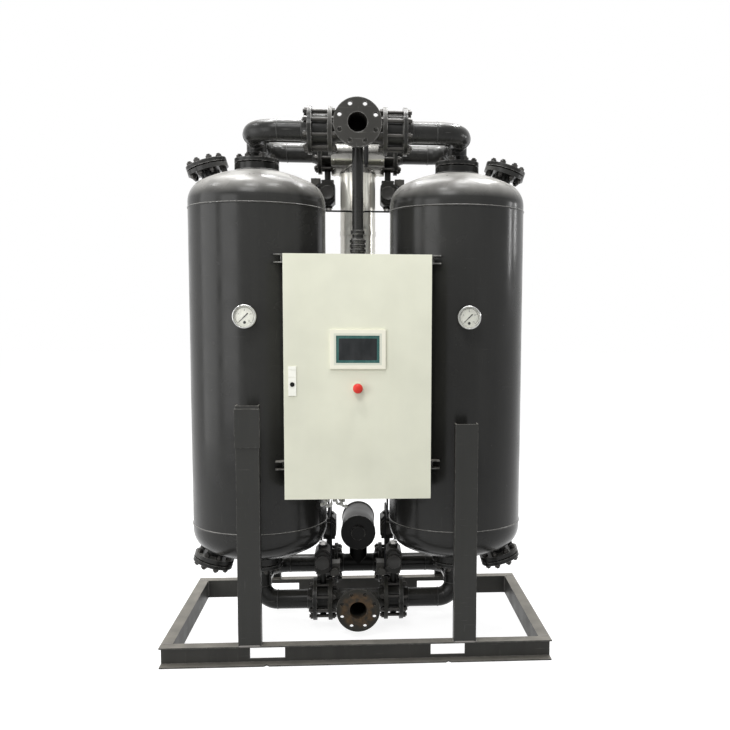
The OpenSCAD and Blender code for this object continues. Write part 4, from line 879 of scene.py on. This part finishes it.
def stop_cap():
    """The stop button's mushroom cap: a quarter ellipse crown over a rolled rim, turned about Y, with its stem."""
    low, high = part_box("estop_button")
    rim_r = (high.x - low.x) / 2
    stem_r, neck_r, roll_r = 0.008, 0.013, 0.003
    stem_end, neck_start, neck_end, rim_low, rim_high = -0.014, 0.0115, 0.0205, 0.0245, 0.0275
    crown = DOOR_Y - low.y
    turn = np.linspace(0.0, np.pi / 2, 20)
    roll = np.linspace(-np.pi / 2, 0.0, 8)
    dome = np.stack([rim_r * np.cos(turn), rim_high + (crown - rim_high) * np.sin(turn)], -1)
    rim = np.stack([rim_r - roll_r + roll_r * np.cos(roll), rim_low + roll_r * np.sin(roll)], -1)
    shaft = np.array([(0.0, stem_end), (stem_r, stem_end), (stem_r, neck_start), (neck_r, neck_start),
                      (neck_r, neck_end)])
    part = lathe(np.concatenate([shaft, rim, dome]), (0.0, DOOR_Y, STOP_Z), (0, -1, 0), 96)
    cap = piece("stop_button_cap", [part], stop_red, "stop_button")
    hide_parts("estop_button")
    return cap


# Heater cladding

def rivet(centre, normal, radius=0.0035, height=0.0018):
    """A pop rivet head: a shallow quarter ellipse dome."""
    turn = np.linspace(0.0, np.pi / 2, 4)
    profile = np.stack([radius * np.cos(turn), height * np.sin(turn)], -1)
    return lathe(np.concatenate([[[0.0, 0.0]], profile]), centre, normal, 10)


def cladding_rivets():
    """Rivets along the upright lap joint at the front right of the jacket and round the tee jacket's ends."""
    lap, around = math.radians(-48), 14
    sunk, proud, end_x = 0.0002, 0.0018, 0.116
    heads = []
    outward = np.array([math.cos(lap), math.sin(lap), 0.0])
    for height in np.arange(1.02, 2.15, 0.075):
        heads.append(rivet(np.array([0.0, REGEN_Y, height]) + (JACKET_R - sunk) * outward, outward))
    for side in (-1, 1):
        for step in range(around):
            turn = 2.0 * math.pi * step / around
            outward = np.array([0.0, math.cos(turn), math.sin(turn)])
            centre = np.array([side * end_x, REGEN_Y, OUTLET_Z]) + (TEE_JACKET_R + proud) * outward
            heads.append(rivet(centre, outward))
    return piece("cladding_rivets", heads, zinc_plate, "dryer")


def cladding_lap():
    """The jacket's upright lap: a strip of sheet standing a millimetre proud, bent to the jacket's curve."""
    lap = np.radians(np.linspace(-62, -40, 9))
    height = np.linspace(1.0, 2.165, 40)
    turn, level = np.meshgrid(lap, height, indexing="ij")
    across = np.clip((turn - lap[0]) / (lap[-1] - lap[0]), 0.0, 1.0)
    proud = JACKET_R + 0.0009 * np.sin(across * np.pi) ** 0.35
    points = np.stack([proud * np.cos(turn), REGEN_Y + proud * np.sin(turn), level], -1).reshape(-1, 3)
    return piece("cladding_lap", [(points, grid_faces(len(lap), len(height)))], cladding, "dryer")


def saddle_collar():
    """The folded collar where the upright jacket runs into the tee jacket: a bead along their meeting curve."""
    turn = np.linspace(0.0, 2.0 * np.pi, 180, endpoint=False)
    x, y = JACKET_R * np.cos(turn), JACKET_R * np.sin(turn)
    z = OUTLET_Z - np.sqrt(TEE_JACKET_R ** 2 - y ** 2)
    path = np.stack([x, y + REGEN_Y, z], -1)
    collar = swept_bead(path, 0.006, np.array([0.0, 0.0, 1.0]), True, chevron=SMOOTH)
    return piece("cladding_collar", [collar], cladding, "dryer")


# Actuators and air fittings

ACTUATOR_RISE = 0.197
CAP_END = 0.085
SCREW_END = 0.075
ACTUATORS = [(side * x, y, z)
             for x, y, z in ((0.147, REGEN_Y, OUTLET_Z - ACTUATOR_RISE), (0.167, VESSEL_Y, INLET_Z + ACTUATOR_RISE),
                             (0.147, REGEN_Y, EXHAUST_Z + ACTUATOR_RISE))
             for side in (-1, 1)]


def cap_screws():
    """Socket head screws beside both round end caps of each actuator."""
    profile = [(0.0, 0.0), (0.0040, 0.0), (0.0040, 0.0032), (0.0035, 0.0040), (0.0024, 0.0040), (0.0024, 0.0016),
               (0.0, 0.0016)]
    screws = [lathe(profile, (x + dx, y + end * SCREW_END, z + dz), (0, end, 0), 12)
              for x, y, z in ACTUATORS for end in (-1, 1) for dx in (-0.028, 0.028) for dz in (-0.023, 0.023)]
    return piece("actuator_cap_screws", screws, stud_steel, "dryer", smooth=False)


def cap_lids():
    """A pressed lid on each round end cap: a profile turned about the cap's axis, with a rolled rim."""
    profile = [(0.0, 0.0003), (0.0318, 0.0003), (0.0324, 0.0010), (0.0320, 0.0019), (0.0308, 0.0021),
               (0.0296, 0.0016), (0.0284, 0.0009), (0.0, 0.0012)]
    lids = [lathe(profile, (x, y + end * CAP_END, z), (0, end, 0), 96) for x, y, z in ACTUATORS for end in (-1, 1)]
    return piece("actuator_cap_lids", lids, cap_edge, "dryer")


def elbow_fitting(x, y, top, heading, drop):
    """A push-in elbow below a plate: a hexagon nut, a quarter bend of tube, and a collar along the heading."""
    bend_r, tube_r, run_out, collar_start = 0.010, 0.0055, 0.012, 0.003
    nut_profile = [(0.0, 0.0), (0.0095, 0.0), (0.0095, 0.007), (0.0, 0.007)]
    collar_profile = [(0.0, 0.0), (0.0072, 0.0), (0.0078, 0.002), (0.0078, 0.009), (0.0066, 0.011), (0.0, 0.011)]
    up = np.array([0.0, 0.0, 1.0])
    away = np.array([math.cos(heading), math.sin(heading), 0.0])
    start = np.array([x, y, top - drop])
    turn = np.linspace(0.0, np.pi / 2, 14)[:, None]
    arc = start + bend_r * ((1.0 - np.cos(turn)) * away - np.sin(turn) * up)
    path = np.concatenate([[start + 0.6 * drop * up], arc, [arc[-1] + run_out * away]])
    nut = lathe(nut_profile, (x, y, top), (0, 0, -1), 6)
    tube = swept_bead(path, tube_r, np.cross(away, up), False, chevron=SMOOTH)
    collar = lathe(collar_profile, arc[-1] + collar_start * away, away, 20)
    return [nut, tube, collar]


def air_fittings():
    """The cluster of air fittings under the control cabinet, in two rows of (x, heading, drop)."""
    rows = {-0.405: ((-0.134, 200, 0.030), (-0.112, 160, 0.038), (-0.090, 20, 0.030), (-0.068, -20, 0.038)),
            -0.378: ((-0.123, 150, 0.022), (-0.101, 90, 0.022), (-0.079, 30, 0.022))}
    floor_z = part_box("cabinet_body")[0].z
    parts = []
    for y, row in rows.items():
        for x, heading, drop in row:
            parts += elbow_fitting(x, y, floor_z, math.radians(heading), drop)
    return piece("air_fittings", parts, fitting_grey, "dryer")


# Camera, floor and light

PHOTO_SIDE = 730
FOCAL_PIXELS = 859.9
PRINCIPAL_X, PRINCIPAL_Y = 419.36, 393.96
SENSOR = 36.0
CAMERA_PLACE = (0.0027, -3.9905, 1.4869)
CAMERA_TURN = (4.06, 5.28, -0.30)
LIGHT_LEVEL = 0.42
HALL_LAMP_Z = 4.3


def photo_camera():
    """Camera where the photograph was taken: turned a little right, tipped a little down."""
    yaw, pitch, roll = (math.radians(angle) for angle in CAMERA_TURN)
    forward = Vector((math.sin(yaw) * math.cos(pitch), math.cos(yaw) * math.cos(pitch), -math.sin(pitch)))
    right = Vector((math.cos(yaw), -math.sin(yaw), 0.0))
    down = forward.cross(right)
    level_right = right * math.cos(roll) + down * math.sin(roll)
    level_down = down * math.cos(roll) - right * math.sin(roll)
    data = bpy.data.cameras.new("photo_camera")
    data.sensor_width = SENSOR
    data.lens = FOCAL_PIXELS / PHOTO_SIDE * SENSOR
    data.shift_x = (PHOTO_SIDE / 2 - PRINCIPAL_X) / PHOTO_SIDE
    data.shift_y = (PRINCIPAL_Y - PHOTO_SIDE / 2) / PHOTO_SIDE
    camera = bpy.data.objects.new("photo_camera", data)
    turn = Matrix((level_right, -level_down, -forward)).transposed()
    camera.matrix_world = Matrix.Translation(CAMERA_PLACE) @ turn.to_4x4()
    bpy.context.scene.collection.objects.link(camera)
    bpy.context.scene.camera = camera


def lamp(name, place, target, width, height, power):
    """A soft rectangular lamp aimed at a point."""
    data = bpy.data.lights.new(name, "AREA")
    data.shape = "RECTANGLE"
    data.size = width
    data.size_y = height
    data.energy = power
    made = bpy.data.objects.new(name, data)
    made.location = place
    made.rotation_euler = (Vector(target) - Vector(place)).to_track_quat("-Z", "Y").to_euler()
    bpy.context.scene.collection.objects.link(made)


def seen_rays(tree):
    """One where the camera, a reflection or a view through glass looks, zero for the light itself."""
    path = add(tree, "ShaderNodeLightPath")
    seen = math_node(tree, "MAXIMUM", path.outputs["Is Camera Ray"], path.outputs["Is Glossy Ray"])
    return math_node(tree, "MAXIMUM", seen, path.outputs["Is Transmission Ray"])


def pale_surroundings():
    """White where the camera or a reflection looks, a plain light level for everything else."""
    world = bpy.data.worlds.new("pale_surroundings")
    world.use_nodes = True
    bpy.context.scene.world = world
    tree = world.node_tree
    backdrop = tree.nodes["Background"]
    backdrop.inputs["Color"].default_value = (1.0, 1.0, 1.0, 1.0)
    tree.links.new(remap(tree, seen_rays(tree), 0.0, 1.0, LIGHT_LEVEL, 1.0), backdrop.inputs["Strength"])


def pale_floor():
    """A wide pale floor that keeps the object's soft shadow."""
    half = 30.0
    mesh = bpy.data.meshes.new("floor")
    mesh.from_pydata([(-half, -half, 0), (half, -half, 0), (half, half, 0), (-half, half, 0)], [], [(0, 1, 2, 3)])
    material, tree, shader = start_material("floor_pale", Base_Color=(0.34, 0.34, 0.34, 1.0), Roughness=0.9,
                                            Specular_IOR_Level=0.0, Emission_Color=(1.0, 1.0, 1.0, 1.0))
    tree.links.new(math_node(tree, "MULTIPLY", seen_rays(tree), 0.86), shader.inputs["Emission Strength"])
    mesh.materials.append(material)
    floor = bpy.data.objects.new("floor", mesh)
    bpy.context.scene.collection.objects.link(floor)


pipe_weld_beads()
vessel_weld_beads()
frame_weld_beads()
lug_weld_beads()
gauge_dials()
panel_screen()
stop_cap()
cladding_rivets()
cladding_lap()
saddle_collar()
cap_screws()
cap_lids()
air_fittings()

photo_camera()
pale_surroundings()
pale_floor()
for lamp_x, lamp_y in ((-2.7, 0.0), (-0.95, 0.05), (0.56, 0.05), (1.5, 0.6), (-0.64, -1.55), (0.58, -1.05),
                       (-0.5, 1.5), (1.5, 1.4)):
    lamp("hall_lamp", (lamp_x, lamp_y, HALL_LAMP_Z), (lamp_x, lamp_y, 0.0), 0.40, 0.22, 25)
lamp("hall_ceiling", (0.0, 0.9, 5.4), (0.0, 0.0, 1.6), 4.0, 2.6, 230)
lamp("front_soft", (-1.0, -3.6, 4.6), (0.0, -0.4, 1.2), 1.8, 1.4, 74)
lamp("left_window", (-4.1, -0.7, 1.8), (-0.5, 0.0, 1.3), 2.2, 3.0, 50)
lamp("left_window", (-3.1, -3.2, 1.8), (-0.5, 0.0, 1.3), 2.0, 2.6, 50)
lamp("right_window", (3.7, 0.23, 2.15), (0.7, -0.2, 1.85), 0.20, 0.66, 8)
lamp("right_window", (3.5, 1.05, 2.20), (0.7, -0.2, 1.90), 0.20, 0.50, 4.7)
bpy.context.scene.view_settings.view_transform = "Standard"
